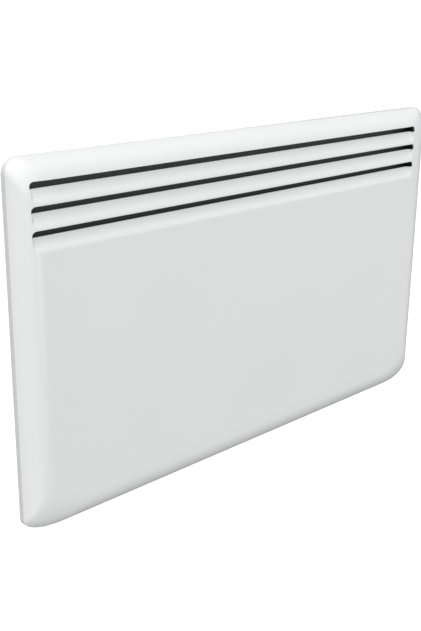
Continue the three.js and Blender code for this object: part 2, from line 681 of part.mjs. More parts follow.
function elementSupport(support) {
  const plate = box(
    fromEnd(support, SUPPORT_FROM_ROD_END, SUPPORT_INNER),
    [ELEMENT_Y - BUSH_FLANGE_RADIUS - 1, CASING_INNER - FIT],
    [ELEMENT_Z - SUPPORT_HEIGHT / 2, ELEMENT_Z + SUPPORT_HEIGHT / 2],
  );
  const foot = box(
    fromEnd(support, SUPPORT_FROM_ROD_END - SUPPORT_FOOT, SUPPORT_INNER),
    [CASING_INNER - FIT - SUPPORT_SHEET, CASING_INNER - FIT],
    [ELEMENT_Z - SUPPORT_HEIGHT / 2, ELEMENT_Z + SUPPORT_HEIGHT / 2],
  );
  const plateSpan = fromEnd(support, SUPPORT_FROM_ROD_END - 1, SUPPORT_INNER + 1);
  return cut(join([plate, foot]), [
    cylinder('x', ELEMENT_AXIS, plateSpan, BUSH_RADIUS + FIT, 16),
    screwHole(support.footScrewX, SUPPORT_SCREW_Z, [CASING_INNER - 4, CASING_INNER + 1]),
  ]);
}

function elementBush(support) {
  const inner = SUPPORT_INNER + FIT + BUSH_FLANGE;
  const sleeve = fromEnd(support, SUPPORT_FROM_ROD_END - BUSH_OVERHANG, inner);
  const flange = fromEnd(support, SUPPORT_INNER + FIT, inner);
  return cut(join([
    cylinder('x', ELEMENT_AXIS, sleeve, BUSH_RADIUS, 16),
    cylinder('x', ELEMENT_AXIS, flange, BUSH_FLANGE_RADIUS, 16),
  ]), [cylinder('x', ELEMENT_AXIS, [sleeve[0] - 1, sleeve[1] + 1], ROD_RADIUS + FIT, 16)]);
}

function elementTerminal(support) {
  const stub = fromEnd(support, -FIT, -FIT - TERMINAL_STUB);
  const blade = fromEnd(support, -FIT - TERMINAL_STUB + 1, -FIT - TERMINAL_STUB - BLADE_LENGTH);
  return join([
    cylinder('x', ELEMENT_AXIS, stub, TERMINAL_RADIUS, 12),
    box(
      blade,
      [ELEMENT_Y - BLADE_THICKNESS / 2, ELEMENT_Y + BLADE_THICKNESS / 2],
      [ELEMENT_Z - BLADE_WIDTH / 2, ELEMENT_Z + BLADE_WIDTH / 2],
    ),
  ]);
}

// Heat shield and thermal cut-out ----------------------------------------------------------

function heatShield() {
  const sheet = box(SHIELD_X, [SHIELD_FRONT, SHIELD_BACK], [SHIELD_BOTTOM, SHIELD_TOP]);
  const footSpan = [SHIELD_BACK - SHIELD_SHEET / 2, CASING_INNER - FIT];
  const feet = [];
  SHIELD_FEET_X.forEach((x) => SHIELD_FEET_Z.forEach((z) => {
    feet.push(cylinder('y', { x, z }, footSpan, SHIELD_FOOT_RADIUS));
  }));
  const holes = SHIELD_FEET_X.map((x) => screwHole(x, SHIELD_FEET_Z[0], [SHIELD_FRONT - 1, CASING_INNER]));
  return cut(join([sheet, ...feet]), holes);
}

function shieldRivet(x) {
  const z = SHIELD_FEET_Z[0];
  const front = [SHIELD_FRONT - FIT - RIVET_HEAD_HEIGHT, SHIELD_FRONT - FIT];
  const tail = [CASING_BACK + FIT, CASING_BACK + FIT + RIVET_HEAD_HEIGHT];
  return join([
    cylinder('y', { x, z }, front, RIVET_HEAD_RADIUS, 12),
    cylinder('y', { x, z }, [front[0] + 0.5, tail[1] - 0.5], SCREW_RADIUS, 8),
    cylinder('y', { x, z }, tail, RIVET_HEAD_RADIUS, 12),
  ]);
}

const CUTOUT_Y = [SHIELD_FRONT - FIT - CUTOUT_HEIGHT, SHIELD_FRONT - FIT];
const CUTOUT_BLADE_Y = (CUTOUT_Y[0] + CUTOUT_Y[1]) / 2;
const CUTOUT_REACH = CUTOUT_RADIUS + BLADE_LENGTH;

function thermalCutout() {
  const body = cylinder('y', { x: CUTOUT_X, z: CUTOUT_Z }, CUTOUT_Y, CUTOUT_RADIUS, 24);
  const blades = box(
    [CUTOUT_X - CUTOUT_REACH, CUTOUT_X + CUTOUT_REACH],
    [CUTOUT_BLADE_Y - BLADE_THICKNESS / 2, CUTOUT_BLADE_Y + BLADE_THICKNESS / 2],
    [CUTOUT_Z - BLADE_WIDTH / 2, CUTOUT_Z + BLADE_WIDTH / 2],
  );
  return join([body, blades]);
}

// A sprung strap over the cut-out, with a foot above and below it on the shield.
function cutoutClip() {
  const sheet = SHIELD_SHEET;
  const over = CUTOUT_Y[0] - FIT;
  const inside = CUTOUT_RADIUS + FIT;
  const outside = inside + sheet;
  const far = outside + CUTOUT_CLIP_FOOT;
  const seat = SHIELD_FRONT - FIT;
  const half = [[seat, far], [seat - sheet, far], [seat - sheet, outside], [over - sheet, outside]];
  const halfBack = [[over, inside], [seat, inside]];
  const below = half.map(([y, z]) => [y, -z]).reverse();
  const belowBack = halfBack.map(([y, z]) => [y, -z]).reverse();
  const section = [...half, ...below, ...belowBack, ...halfBack].map(([y, z]) => [y, z + CUTOUT_Z]);
  return prism('x', outline(section), [CUTOUT_X - CUTOUT_CLIP_WIDTH / 2, CUTOUT_X + CUTOUT_CLIP_WIDTH / 2]);
}

// Control housing --------------------------------------------------------------------------

const HOUSING_Z = [HOUSING_BOTTOM, HOUSING_TOP];
const INSIDE_X = [HOUSING_X[0] + HOUSING_WALL, HOUSING_X[1] - HOUSING_WALL];
const INSIDE_Z = [HOUSING_BOTTOM + HOUSING_WALL, HOUSING_TOP - HOUSING_WALL];
const RIGHT_WALL = [INSIDE_X[1] - 1, HOUSING_X[1] + 1];

function housingCutters() {
  const leftWall = [HOUSING_X[0] - 1, INSIDE_X[0] + 1];
  const lowerWall = [HOUSING_BOTTOM - 1, INSIDE_Z[0] + 1];
  const cutters = [
    cylinder('x', { y: CONTROL_Y, z: DIAL_Z }, RIGHT_WALL, SHAFT_RADIUS + FIT, 16),
    cylinder('x', { y: CONTROL_Y, z: LENS_Z }, RIGHT_WALL, LENS_RADIUS + FIT, 16),
    box(
      RIGHT_WALL,
      [CONTROL_Y - SWITCH_WIDTH / 2 - FIT, CONTROL_Y + SWITCH_WIDTH / 2 + FIT],
      [SWITCH_Z - SWITCH_LENGTH / 2 - FIT, SWITCH_Z + SWITCH_LENGTH / 2 + FIT],
    ),
    cylinder('x', { y: GROMMET_Y, z: GROMMET_Z }, leftWall, GROMMET_RADIUS + FIT, 20),
    cylinder('z', { x: GLAND_X, y: CONTROL_Y }, lowerWall, GLAND_RADIUS + FIT, 20),
  ];
  const middle = (BULB_X[0] + BULB_X[1]) / 2;
  for (let i = 0; i < VENT_COUNT; i += 1) {
    const x = middle + (i - (VENT_COUNT - 1) / 2) * VENT_PITCH;
    cutters.push(box(
      [x - VENT_WIDTH / 2, x + VENT_WIDTH / 2],
      [CONTROL_Y - VENT_LENGTH / 2, CONTROL_Y + VENT_LENGTH / 2],
      lowerWall,
    ));
  }
  HOUSING_SCREWS.forEach(([x, z]) => cutters.push(screwHole(x, z, [HOUSING_Y[0] - 1, HOUSING_FLOOR + 1])));
  const bore = [COVER_FRONT - 12, COVER_FRONT];
  COVER_BOSSES.forEach(([x, z]) => cutters.push(screwHole(x, z, bore)));
  return cutters;
}

// An open-backed plastic box. Two posts on its floor carry the sensing bulb over the vents.
function controlHousing() {
  const shell = prism('y', roundedRectangle(HOUSING_X, HOUSING_Z, HOUSING_CORNER), HOUSING_Y);
  const hollowShape = roundedRectangle(INSIDE_X, INSIDE_Z, HOUSING_CORNER - HOUSING_WALL);
  const hollow = prism('y', hollowShape, [HOUSING_FLOOR, HOUSING_Y[1] + 1]);
  const bosses = COVER_BOSSES.map(([x, z]) => (
    cylinder('y', { x, z }, [HOUSING_FLOOR - 1, COVER_FRONT - FIT], BOSS_RADIUS)
  ));
  const posts = [BULB_X[0] + 7, BULB_X[1] - 7].map((x) => (
    box([x - 1, x + 1], [HOUSING_FLOOR - 1, CONTROL_Y - BULB_RADIUS - FIT], [BULB_Z - 3, BULB_Z + 3])
  ));
  return cut(join([cut(shell, [hollow]), ...bosses, ...posts]), housingCutters());
}

function controlCover() {
  const x = [INSIDE_X[0] + FIT, INSIDE_X[1] - FIT];
  const z = [INSIDE_Z[0] + FIT, INSIDE_Z[1] - FIT];
  const shape = roundedRectangle(x, z, HOUSING_CORNER - HOUSING_WALL);
  const plate = prism('y', shape, [COVER_FRONT, HOUSING_Y[1]]);
  const span = [COVER_FRONT - 1, HOUSING_Y[1] + 1];
  return cut(plate, COVER_BOSSES.map(([bx, bz]) => screwHole(bx, bz, span)));
}

function thermostatBody() {
  const half = THERMOSTAT_WIDTH / 2;
  const y = [HOUSING_FLOOR + FIT, HOUSING_FLOOR + FIT + THERMOSTAT_DEPTH];
  const body = box(THERMOSTAT_X, y, [DIAL_Z - half, DIAL_Z + half]);
  const bore = [THERMOSTAT_X[1] - 8, THERMOSTAT_X[1] + 1];
  return cut(body, [cylinder('x', { y: CONTROL_Y, z: DIAL_Z }, bore, SHAFT_RADIUS + FIT, 16)]);
}

const DIAL_X = [HOUSING_X[1] + 0.4, HOUSING_X[1] + 0.4 + DIAL_HEIGHT];
const SHAFT_X = [THERMOSTAT_X[1] - 8 + FIT, DIAL_X[1] - 3 - FIT];

// A fluted knob with a raised pointer. It turns about X on the thermostat's shaft.
function thermostatDial() {
  const rim = [];
  for (let i = 0; i < DIAL_FLUTES * 2; i += 1) {
    const angle = (i / (DIAL_FLUTES * 2)) * Math.PI * 2;
    const radius = DIAL_RADIUS - (i % 2) * DIAL_FLUTE_DEPTH;
    rim.push([CONTROL_Y + radius * Math.cos(angle), DIAL_Z + radius * Math.sin(angle)]);
  }
  const knob = prism('x', outline(rim), [DIAL_X[0], DIAL_X[1] - 1]);
  const pointer = box(
    [DIAL_X[1] - 2, DIAL_X[1]],
    [CONTROL_Y - 1, CONTROL_Y + 1],
    [DIAL_Z - DIAL_RADIUS + 1.5, DIAL_Z + 2],
  );
  const bore = [DIAL_X[0] - 1, DIAL_X[1] - 3];
  return cut(join([knob, pointer]), [
    cylinder('x', { y: CONTROL_Y, z: DIAL_Z }, bore, SHAFT_RADIUS + FIT, 16),
  ]);
}

function switchFrame() {
  const wide = SWITCH_WIDTH / 2;
  const long = SWITCH_LENGTH / 2;
  const y = (d) => [CONTROL_Y - wide - d, CONTROL_Y + wide + d];
  const z = (d) => [SWITCH_Z - long - d, SWITCH_Z + long + d];
  const face = HOUSING_X[1] + FIT;
  const body = box([SWITCH_X[0], face + 1], y(0), z(0));
  const bezel = box([face, face + BEZEL_THICKNESS], y(BEZEL_OVERLAP), z(BEZEL_OVERLAP));
  const well = box([HOUSING_X[1] - 11, face + BEZEL_THICKNESS + 1], y(-1), z(-1));
  return cut(join([body, bezel]), [well]);
}

// The rocker's side view, pivoting about Y, with its lower half pressed in at rest.
function switchRocker() {
  const long = ROCKER_HALF_LENGTH;
  const side = [[-3, -3], [2, -long], [6.2, -long], [4.8, 0], [6.2, long], [2, long], [-3, 3]];
  const pivotX = HOUSING_X[1] - ROCKER_PIVOT_DEPTH;
  const turned = side.map(([u, v]) => [
    pivotX + u * Math.cos(ROCKER_REST_TILT) + v * Math.sin(ROCKER_REST_TILT),
    SWITCH_Z - u * Math.sin(ROCKER_REST_TILT) + v * Math.cos(ROCKER_REST_TILT),
  ]);
  const half = SWITCH_WIDTH / 2 - 1 - FIT;
  return prism('y', outline(turned), [CONTROL_Y - half, CONTROL_Y + half]);
}

function indicatorLens() {
  const face = HOUSING_X[1] + FIT;
  const at = { y: CONTROL_Y, z: LENS_Z };
  const dome = new THREE.SphereGeometry(LENS_RADIUS, 16, 8);
  dome.scale(0.7, 1, 1);
  dome.translate(face + 1, CONTROL_Y, LENS_Z);
  const whole = join([
    cylinder('x', at, [HOUSING_X[1] - LENS_LENGTH, face + 0.5], LENS_RADIUS),
    cylinder('x', at, [face, face + 1], LENS_FLANGE_RADIUS),
    solid(dome),
  ]);
  const bore = [HOUSING_X[1] - LENS_LENGTH - 1, HOUSING_X[1] - LENS_WALL];
  return cut(whole, [cylinder('x', at, bore, LAMP_RADIUS + FIT)]);
}

function indicatorLamp() {
  const reach = [HOUSING_X[1] - LENS_LENGTH - 3, HOUSING_X[1] - LENS_WALL - FIT];
  return cylinder('x', { y: CONTROL_Y, z: LENS_Z }, reach, LAMP_RADIUS, 12);
}

function terminalBlock() {
  const y = [HOUSING_FLOOR + FIT, HOUSING_FLOOR + FIT + BLOCK_DEPTH];
  const pitch = BLOCK_LENGTH / BLOCK_POLES;
  const wells = [];
  for (let i = 0; i < BLOCK_POLES; i += 1) {
    const x = BLOCK_X[0] + (i + 0.5) * pitch;
    [BLOCK_Z[0] + 4.5, BLOCK_Z[1] - 4.5].forEach((z) => {
      wells.push(cylinder('y', { x, z }, [y[1] - 6, y[1] + 1], 2.4, 12));
    });
    if (i > 0) {
      const groove = BLOCK_X[0] + i * pitch;
      wells.push(box([groove - 0.7, groove + 0.7], [y[1] - 3, y[1] + 1], [BLOCK_Z[0] - 1, BLOCK_Z[1] + 1]));
    }
  }
  return cut(box(BLOCK_X, y, BLOCK_Z), wells);
}

// A rubber ring in the housing's floor wall where the supply cable enters.
function cableGland() {
  const at = { x: GLAND_X, y: CONTROL_Y };
  const outside = [HOUSING_BOTTOM - FIT - GLAND_FLANGE, HOUSING_BOTTOM - FIT];
  const inside = [INSIDE_Z[0] + FIT, INSIDE_Z[0] + FIT + 2];
  return cut(join([
    cylinder('z', at, outside, GLAND_FLANGE_RADIUS, 20),
    cylinder('z', at, [outside[0] + 1, inside[1]], GLAND_RADIUS, 20),
    cylinder('z', at, inside, GLAND_FLANGE_RADIUS - 1, 20),
  ]), [cylinder('z', at, [outside[0] - 1, inside[1] + 1], GLAND_BORE, 20)]);
}

// The liquid-filled sensing bulb over the vents, with its fine tube up to the thermostat.
function capillaryBulb() {
  const bulb = cylinder('x', { y: CONTROL_Y, z: BULB_Z }, BULB_X, BULB_RADIUS, 12);
  const right = HOUSING_X[1];
  const path = [
    [BULB_X[0] + 1, CONTROL_Y, BULB_Z],
    [BULB_X[0] - 2, CONTROL_Y + 0.5, BULB_Z + 0.6],
    [BULB_X[0] - 2.5, CONTROL_Y + 4, BULB_Z + 4],
    [BLOCK_X[1] - 4, CONTROL_Y + 6, BLOCK_Z[0] - 3],
    [BLOCK_X[1] + 4, CONTROL_Y + 7, BLOCK_Z[0] + 8],
    [SWITCH_X[0] - 4, CONTROL_Y + 8, SWITCH_Z - 8],
    [SWITCH_X[0] - 4, CONTROL_Y + 8, SWITCH_Z + 8],
    [right - 21, CONTROL_Y + 6, DIAL_Z - THERMOSTAT_WIDTH / 2 - 6],
    [right - 20, CONTROL_Y + 5, DIAL_Z - THERMOSTAT_WIDTH / 2 - FIT],
  ];
  return join([bulb, tube(path, CAPILLARY_RADIUS, 28, 5)]);
}

// Leads ------------------------------------------------------------------------------------

// The rubber bush that takes the leads from the housing into the tray.
function leadGrommet() {
  const at = { y: GROMMET_Y, z: GROMMET_Z };
  const flange = [TRAY_X[1] - CASING_SHEET - FIT - 2, TRAY_X[1] - CASING_SHEET - FIT];
  const reach = [flange[0], INSIDE_X[0] + 2];
  return cut(join([
    cylinder('x', at, reach, GROMMET_RADIUS, 20),
    cylinder('x', at, flange, GROMMET_FLANGE_RADIUS, 20),
  ]), [cylinder('x', at, [reach[0] - 1, reach[1] + 1], GROMMET_BORE, 20)]);
}

// A lead's straight run through the grommet, at an angle about its axis.
function throughGrommet(turn) {
  const y = GROMMET_Y + LEAD_SPREAD * Math.cos(turn);
  const z = GROMMET_Z + LEAD_SPREAD * Math.sin(turn);
  return [
    [INSIDE_X[0] + 4, y, z],
    [TRAY_X[1] - CASING_SHEET - 4, y, z],
  ];
}

const BLOCK_TAP_Y = HOUSING_FLOOR + FIT + BLOCK_DEPTH / 2;
const BLOCK_TAP_Z = BLOCK_Z[1] + FIT;

function poleX(pole) {
  return BLOCK_X[0] + (pole + 0.5) * (BLOCK_LENGTH / BLOCK_POLES);
}

// Supply, from the terminal block to the switch.
function supplyLead() {
  const x = poleX(2);
  return tube([
    [x, BLOCK_TAP_Y, BLOCK_TAP_Z],
    [x, BLOCK_TAP_Y, BLOCK_TAP_Z + 7],
    [x + 3, (BLOCK_TAP_Y + CONTROL_Y) / 2, SWITCH_Z - 9],
    [SWITCH_X[0] - 7, CONTROL_Y, SWITCH_Z - 4.5],
    [SWITCH_X[0] - FIT, CONTROL_Y, SWITCH_Z - 4],
  ], LEAD_RADIUS, 14);
}

// Switched live, from the switch to the thermostat.
function switchedLead() {
  const low = DIAL_Z - THERMOSTAT_WIDTH / 2 + 4;
  return tube([
    [SWITCH_X[0] - FIT, CONTROL_Y, SWITCH_Z + 5],
    [SWITCH_X[0] - 7, CONTROL_Y, SWITCH_Z + 6],
    [THERMOSTAT_X[0] - 8, CONTROL_Y, (SWITCH_Z + low) / 2],
    [THERMOSTAT_X[0] - 6, CONTROL_Y, low - 1],
    [THERMOSTAT_X[0] - FIT, CONTROL_Y, low],
  ], LEAD_RADIUS, 14);
}

// Live, from the thermostat through the grommet to the thermal cut-out.
function heatLead() {
  const high = DIAL_Z + THERMOSTAT_WIDTH / 2 - 6;
  return tube([
    [THERMOSTAT_X[0] - FIT, CONTROL_Y, high],
    [THERMOSTAT_X[0] - 10, CONTROL_Y, high + 2],
    ...throughGrommet(Math.PI / 2),
    [TRAY_X[1] - HEAT_LEAD_BEND[0], GROMMET_Y, GROMMET_Z + HEAT_LEAD_BEND[1]],
    [(TRAY_X[1] + CUTOUT_X) / 2, GROMMET_Y, CUTOUT_Z - 20],
    [CUTOUT_X + CUTOUT_REACH + 14, CUTOUT_BLADE_Y - 0.5, CUTOUT_Z],
    [CUTOUT_X + CUTOUT_REACH + FIT, CUTOUT_BLADE_Y, CUTOUT_Z],
  ], LEAD_RADIUS, 26);
}

// Live, from the cut-out along the shield to the element's left terminal.
function bridgeLead() {
  const x = ROD_X[0] - FIT - TERMINAL_STUB - BLADE_LENGTH / 2;
  const support = ELEMENT_Z + SUPPORT_HEIGHT / 2;
  return tube([
    [CUTOUT_X - CUTOUT_REACH - FIT, CUTOUT_BLADE_Y, CUTOUT_Z],
    [CUTOUT_X - CUTOUT_REACH - 20, CUTOUT_BLADE_Y, CUTOUT_Z],
    [(CUTOUT_X + x) / 2, CUTOUT_BLADE_Y - 1, CUTOUT_Z - 10],
    [ROD_X[0] + BRIDGE_LEAD_BEND[0], CUTOUT_BLADE_Y - 2, support + BRIDGE_LEAD_BEND[1]],
    [x + 3, ELEMENT_Y + 4, support + 18],
    [x, ELEMENT_Y, support - 4],
    [x, ELEMENT_Y, ELEMENT_Z + BLADE_WIDTH / 2 + FIT],
  ], LEAD_RADIUS, 28);
}

// Neutral, from the terminal block through the grommet to the element's right terminal.
function neutralLead() {
  const x = ROD_X[1] + FIT + TERMINAL_STUB + BLADE_LENGTH / 2;
  return tube([
    [poleX(1), BLOCK_TAP_Y, BLOCK_TAP_Z],
    [poleX(1), BLOCK_TAP_Y, BLOCK_TAP_Z + 20],
    [INSIDE_X[0] + 17, BLOCK_TAP_Y, DIAL_Z],
    ...throughGrommet((Math.PI * 7) / 6),
    [x + 2, GROMMET_Y - 5, GROMMET_Z - 10],
    [x, ELEMENT_Y, GROMMET_Z - 24],
    [x, ELEMENT_Y, ELEMENT_Z + BLADE_WIDTH / 2 + FIT],
  ], LEAD_RADIUS, 30);
}

// Protective earth, from the terminal block through the grommet to a screw in the casing.
function earthLead() {
  const headSide = EARTH.x + SCREW_HEAD_RADIUS + FIT;
  return tube([
    [poleX(0), BLOCK_TAP_Y, BLOCK_TAP_Z],
    [poleX(0), BLOCK_TAP_Y, BLOCK_TAP_Z + 14],
    [INSIDE_X[0] + 9, CONTROL_Y + 3, DIAL_Z - 10],
    [INSIDE_X[0] + 8, CONTROL_Y + 3.5, DIAL_Z + 10],
    ...throughGrommet((-Math.PI) / 6),
    [TRAY_X[1] - 13, GROMMET_Y + 5, GROMMET_Z + 12],
    [headSide + 6, CASING_INNER - 2, EARTH.z - 4],
    [headSide, CASING_INNER - 1.8, EARTH.z],
  ], LEAD_RADIUS, 30);
}

// Wall bracket and its latches -------------------------------------------------------------

// One hook arm in (y, z): out from the wall, down into the throat and up into the nose.
function hookOutline() {
  const rear = CASING_BACK + HOOK_LEAD;
  const nose = rear - HOOK_THROAT;
  const seat = HOOK_Z - FIT - LINER_WALL;
  const tip = nose - HOOK_NOSE_WIDTH;
  const under = seat - HOOK_ARM_HEIGHT;
  return outline([
    [0, under],
    [0, HOOK_Z + HOOK_SHOULDER],
    [rear, HOOK_Z + HOOK_SHOULDER],
    [rear, seat],
    [nose, seat],
    [nose, HOOK_Z + HOOK_NOSE_HEIGHT],
    [tip, HOOK_Z + HOOK_NOSE_HEIGHT - 1],
    [tip, under + 3],
    [tip + 3, under],
  ]);
}

function bracketSide(side) {
  const centre = side * UPRIGHT_X;
  const span = (from, to) => [centre + side * from, centre + side * to].sort((a, b) => a - b);
  const half = UPRIGHT_WIDTH / 2;
  const low = HOOK_Z - HOOK_ARM_HEIGHT - LINER_WALL - FIT;
  const high = LATCH_Z + LATCH_TAB_HEIGHT / 2 + RAIL_HEIGHT / 2;
  const tabZ = [LATCH_Z - LATCH_TAB_HEIGHT / 2, LATCH_Z + LATCH_TAB_HEIGHT / 2];
  const whole = join([
    box(span(-half, half), [-BRACKET_SHEET, 0], [low, high]),
    prism('x', hookOutline(), span(half - BRACKET_SHEET, half)),
    box(span(-half, -half + BRACKET_SHEET), [TAB_FRONT, 0], tabZ),
    box(span(-half, half), [TAB_FRONT, TAB_BACK], tabZ),
  ]);
  const wallSlots = [low + 30, high - RAIL_HEIGHT - 30].map((z) => prism('y', roundedRectangle(
    [centre - WALL_SLOT_LENGTH / 2, centre + WALL_SLOT_LENGTH / 2],
    [z - WALL_SLOT_RADIUS, z + WALL_SLOT_RADIUS],
    WALL_SLOT_RADIUS - 0.01,
  ), [-BRACKET_SHEET - 1, 1]));
  const tabSpan = [TAB_FRONT - 1, TAB_BACK + 1];
  const pivot = cylinder('y', { x: centre, z: LATCH_Z }, tabSpan, LATCH_PIVOT_RADIUS + FIT);
  return cut(whole, [...wallSlots, pivot]);
}

function wallBracket() {
  const inner = UPRIGHT_X - UPRIGHT_WIDTH / 2 + 1;
  const low = HOOK_Z - HOOK_ARM_HEIGHT - LINER_WALL - FIT;
  const high = LATCH_Z + LATCH_TAB_HEIGHT / 2 + RAIL_HEIGHT / 2;
  const rail = (z, deep) => box([-inner, inner], [-deep, 0], z);
  return join([
    bracketSide(-1),
    bracketSide(1),
    rail([low, low + RAIL_HEIGHT], BRACKET_SHEET),
    rail([low, low + BRACKET_SHEET], RAIL_FOLD),
    rail([-CENTRE_RAIL_HEIGHT / 2, CENTRE_RAIL_HEIGHT / 2], BRACKET_SHEET),
    rail([high - RAIL_HEIGHT, high], BRACKET_SHEET),
    rail([high - BRACKET_SHEET, high], RAIL_FOLD),
  ]);
}

// A nylon saddle over the arm in the hook's throat, on which the casing rests quietly.
function hookLiner(side) {
  const rear = CASING_BACK + HOOK_LEAD - FIT;
  const front = CASING_BACK + HOOK_LEAD - HOOK_THROAT + FIT;
  const half = BRACKET_SHEET / 2 + FIT + LINER_WALL;
  const centre = side * HOOK_X;
  const seat = HOOK_Z - FIT - LINER_WALL;
  const saddle = box([centre - half, centre + half], [front, rear], [seat - 4, HOOK_Z - FIT]);
  const groove = [centre - BRACKET_SHEET / 2 - FIT, centre + BRACKET_SHEET / 2 + FIT];
  return cut(saddle, [box(groove, [front - 1, rear + 1], [seat - 5, seat + FIT])]);
}

// A lever with a T-shaped bar. Flat, the bar passes through the casing's slot, and a quarter
// turn locks it behind the sheet.
function latch(side) {
  const x = side * UPRIGHT_X;
  const at = { x, z: LATCH_Z };
  const half = LEVER_WIDTH / 2;
  const end = x + side * LEVER_LENGTH;
  const barFront = CASING_INNER - 0.8 - LATCH_BAR_THICKNESS;
  const tip = [end - side * 4, end].sort((a, b) => a - b);
  const arm = [x, end].sort((a, b) => a - b);
  const height = [LATCH_Z - half + 2, LATCH_Z + half - 2];
  return join([
    cylinder('y', at, [LEVER_FRONT, LEVER_BACK], half, 20),
    box(arm, [LEVER_FRONT, LEVER_BACK], height),
    box(tip, [LEVER_FRONT, LEVER_BACK + LEVER_GRIP], height),
    cylinder('y', at, [barFront + 1, LEVER_FRONT + 1], LATCH_BAR_WIDTH / 2, 12),
    box(
      [x - LATCH_BAR_LENGTH / 2, x + LATCH_BAR_LENGTH / 2],
      [barFront, barFront + LATCH_BAR_THICKNESS],
      [LATCH_Z - LATCH_BAR_WIDTH / 2, LATCH_Z + LATCH_BAR_WIDTH / 2],
    ),
    cylinder('y', at, [LEVER_BACK - 1, TAB_BACK + CLIP_THICKNESS + 2], LATCH_PIVOT_RADIUS, 16),
  ]);
}

function latchClip(side) {
  const at = { x: side * UPRIGHT_X, z: LATCH_Z };
  const span = [TAB_BACK + FIT, TAB_BACK + FIT + CLIP_THICKNESS];
  const ring = cylinder('y', at, span, CLIP_RADIUS, 20);
  return cut(ring, [cylinder('y', at, [span[0] - 1, span[1] + 1], LATCH_PIVOT_RADIUS + FIT, 16)]);
}

// The whole heater -------------------------------------------------------------------------

add('front_panel', frontPanel(), 'white_powder_coat');
add('air_deflector', airDeflector(), 'dark_powder_coat');
add('rear_casing', rearCasing(), 'zinc_plate');
RIM_SCREWS.forEach(([x, z], i) => {
  add(`casing_screw_${i + 1}`, screw(x, RIM_BACK, z, -6), 'zinc_plate');
});
DEFLECTOR_SCREWS.forEach(([x, z], i) => {
  add(`deflector_screw_${i + 1}`, screw(x, PANEL_REAR - DEFLECTOR_SHEET, z, 5), 'zinc_plate');
});

add('element_fins', elementFins(), 'aluminium');
add('element_rod', cylinder('x', ELEMENT_AXIS, ROD_X, ROD_RADIUS, 16), 'element_sheath');
SUPPORTS.forEach((support) => {
  add(`element_support_${support.side}`, elementSupport(support), 'zinc_plate');
  add(`element_bush_${support.side}`, elementBush(support), 'ceramic');
  add(`element_terminal_${support.side}`, elementTerminal(support), 'nickel');
  const seat = CASING_INNER - FIT - SUPPORT_SHEET;
  add(`support_screw_${support.side}`, screw(support.footScrewX, seat, SUPPORT_SCREW_Z, 5), 'zinc_plate');
});

add('heat_shield', heatShield(), 'aluminised_steel');
SHIELD_FEET_X.forEach((x, i) => add(`shield_rivet_${i + 1}`, shieldRivet(x), 'zinc_plate'));
add('thermal_cutout', thermalCutout(), 'black_plastic');
add('cutout_clip', cutoutClip(), 'nickel');

add('control_housing', controlHousing(), 'white_plastic');
add('control_cover', controlCover(), 'white_plastic');
COVER_BOSSES.forEach(([x, z], i) => {
  add(`cover_screw_${i + 1}`, screw(x, HOUSING_Y[1], z, -12), 'zinc_plate');
});
HOUSING_SCREWS.forEach(([x, z], i) => {
  add(`housing_screw_${i + 1}`, screw(x, HOUSING_FLOOR, z, -6), 'zinc_plate');
});
add('thermostat_body', thermostatBody(), 'grey_plastic');
add('dial_shaft', cylinder('x', { y: CONTROL_Y, z: DIAL_Z }, SHAFT_X, SHAFT_RADIUS, 16), 'nickel');
add('thermostat_dial', thermostatDial(), 'white_plastic');
add('switch_frame', switchFrame(), 'black_plastic');
add('switch_rocker', switchRocker(), 'black_plastic');
add('indicator_lens', indicatorLens(), 'amber_lens');
add('indicator_lamp', indicatorLamp(), 'lamp_glass');
add('terminal_block', terminalBlock(), 'grey_plastic');
add('cable_gland', cableGland(), 'black_rubber');
add('capillary_bulb', capillaryBulb(), 'copper');
add('lead_grommet', leadGrommet(), 'black_rubber');
add('lead_supply', supplyLead(), 'brown_lead');
add('lead_switched', switchedLead(), 'brown_lead');
add('lead_heat', heatLead(), 'brown_lead');
add('lead_bridge', bridgeLead(), 'brown_lead');
add('lead_neutral', neutralLead(), 'blue_lead');
add('lead_earth', earthLead(), 'earth_lead');
add('earth_screw', screw(EARTH.x, CASING_INNER, EARTH.z, 5), 'zinc_plate');

add('wall_bracket', wallBracket(), 'zinc_plate');
[[-1, 'left'], [1, 'right']].forEach(([side, word]) => {
  add(`hook_liner_${word}`, hookLiner(side), 'black_plastic');
  add(`latch_${word}`, latch(side), 'white_plastic');
  add(`latch_clip_${word}`, latchClip(side), 'zinc_plate');
});

export default heater;
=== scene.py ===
import math

import bmesh
import bpy
from mathutils import Matrix, Vector


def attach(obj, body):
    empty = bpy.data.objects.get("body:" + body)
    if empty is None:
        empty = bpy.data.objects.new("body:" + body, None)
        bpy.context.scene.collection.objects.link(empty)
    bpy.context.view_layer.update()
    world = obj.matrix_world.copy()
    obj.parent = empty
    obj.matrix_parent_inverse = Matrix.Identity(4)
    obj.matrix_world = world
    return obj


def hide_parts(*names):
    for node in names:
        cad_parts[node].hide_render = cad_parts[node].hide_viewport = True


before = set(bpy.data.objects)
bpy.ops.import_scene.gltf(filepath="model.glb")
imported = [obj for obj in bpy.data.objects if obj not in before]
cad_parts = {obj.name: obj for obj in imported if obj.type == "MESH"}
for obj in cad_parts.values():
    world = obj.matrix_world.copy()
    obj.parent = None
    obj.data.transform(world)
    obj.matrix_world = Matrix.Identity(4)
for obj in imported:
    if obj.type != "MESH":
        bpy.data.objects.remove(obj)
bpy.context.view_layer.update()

# The viewpoint ----------------------------------
# A long lens, a little above the heater and well round to its left-hand end, so that the face,
# the left and top rolls and the narrow flange behind them all show.
VIEW_PLACE = Vector((-0.8366, -0.8546, 0.3525))
VIEW_YAW = math.radians(44.37)  # from straight at the wall towards the right
VIEW_PITCH = math.radians(18.43)
VIEW_ROLL = math.radians(-0.65)
FOCAL_PIXELS = 983.1
IMAGE_HEIGHT = 631
SENSOR = 36.0
NEAREST = 0.01

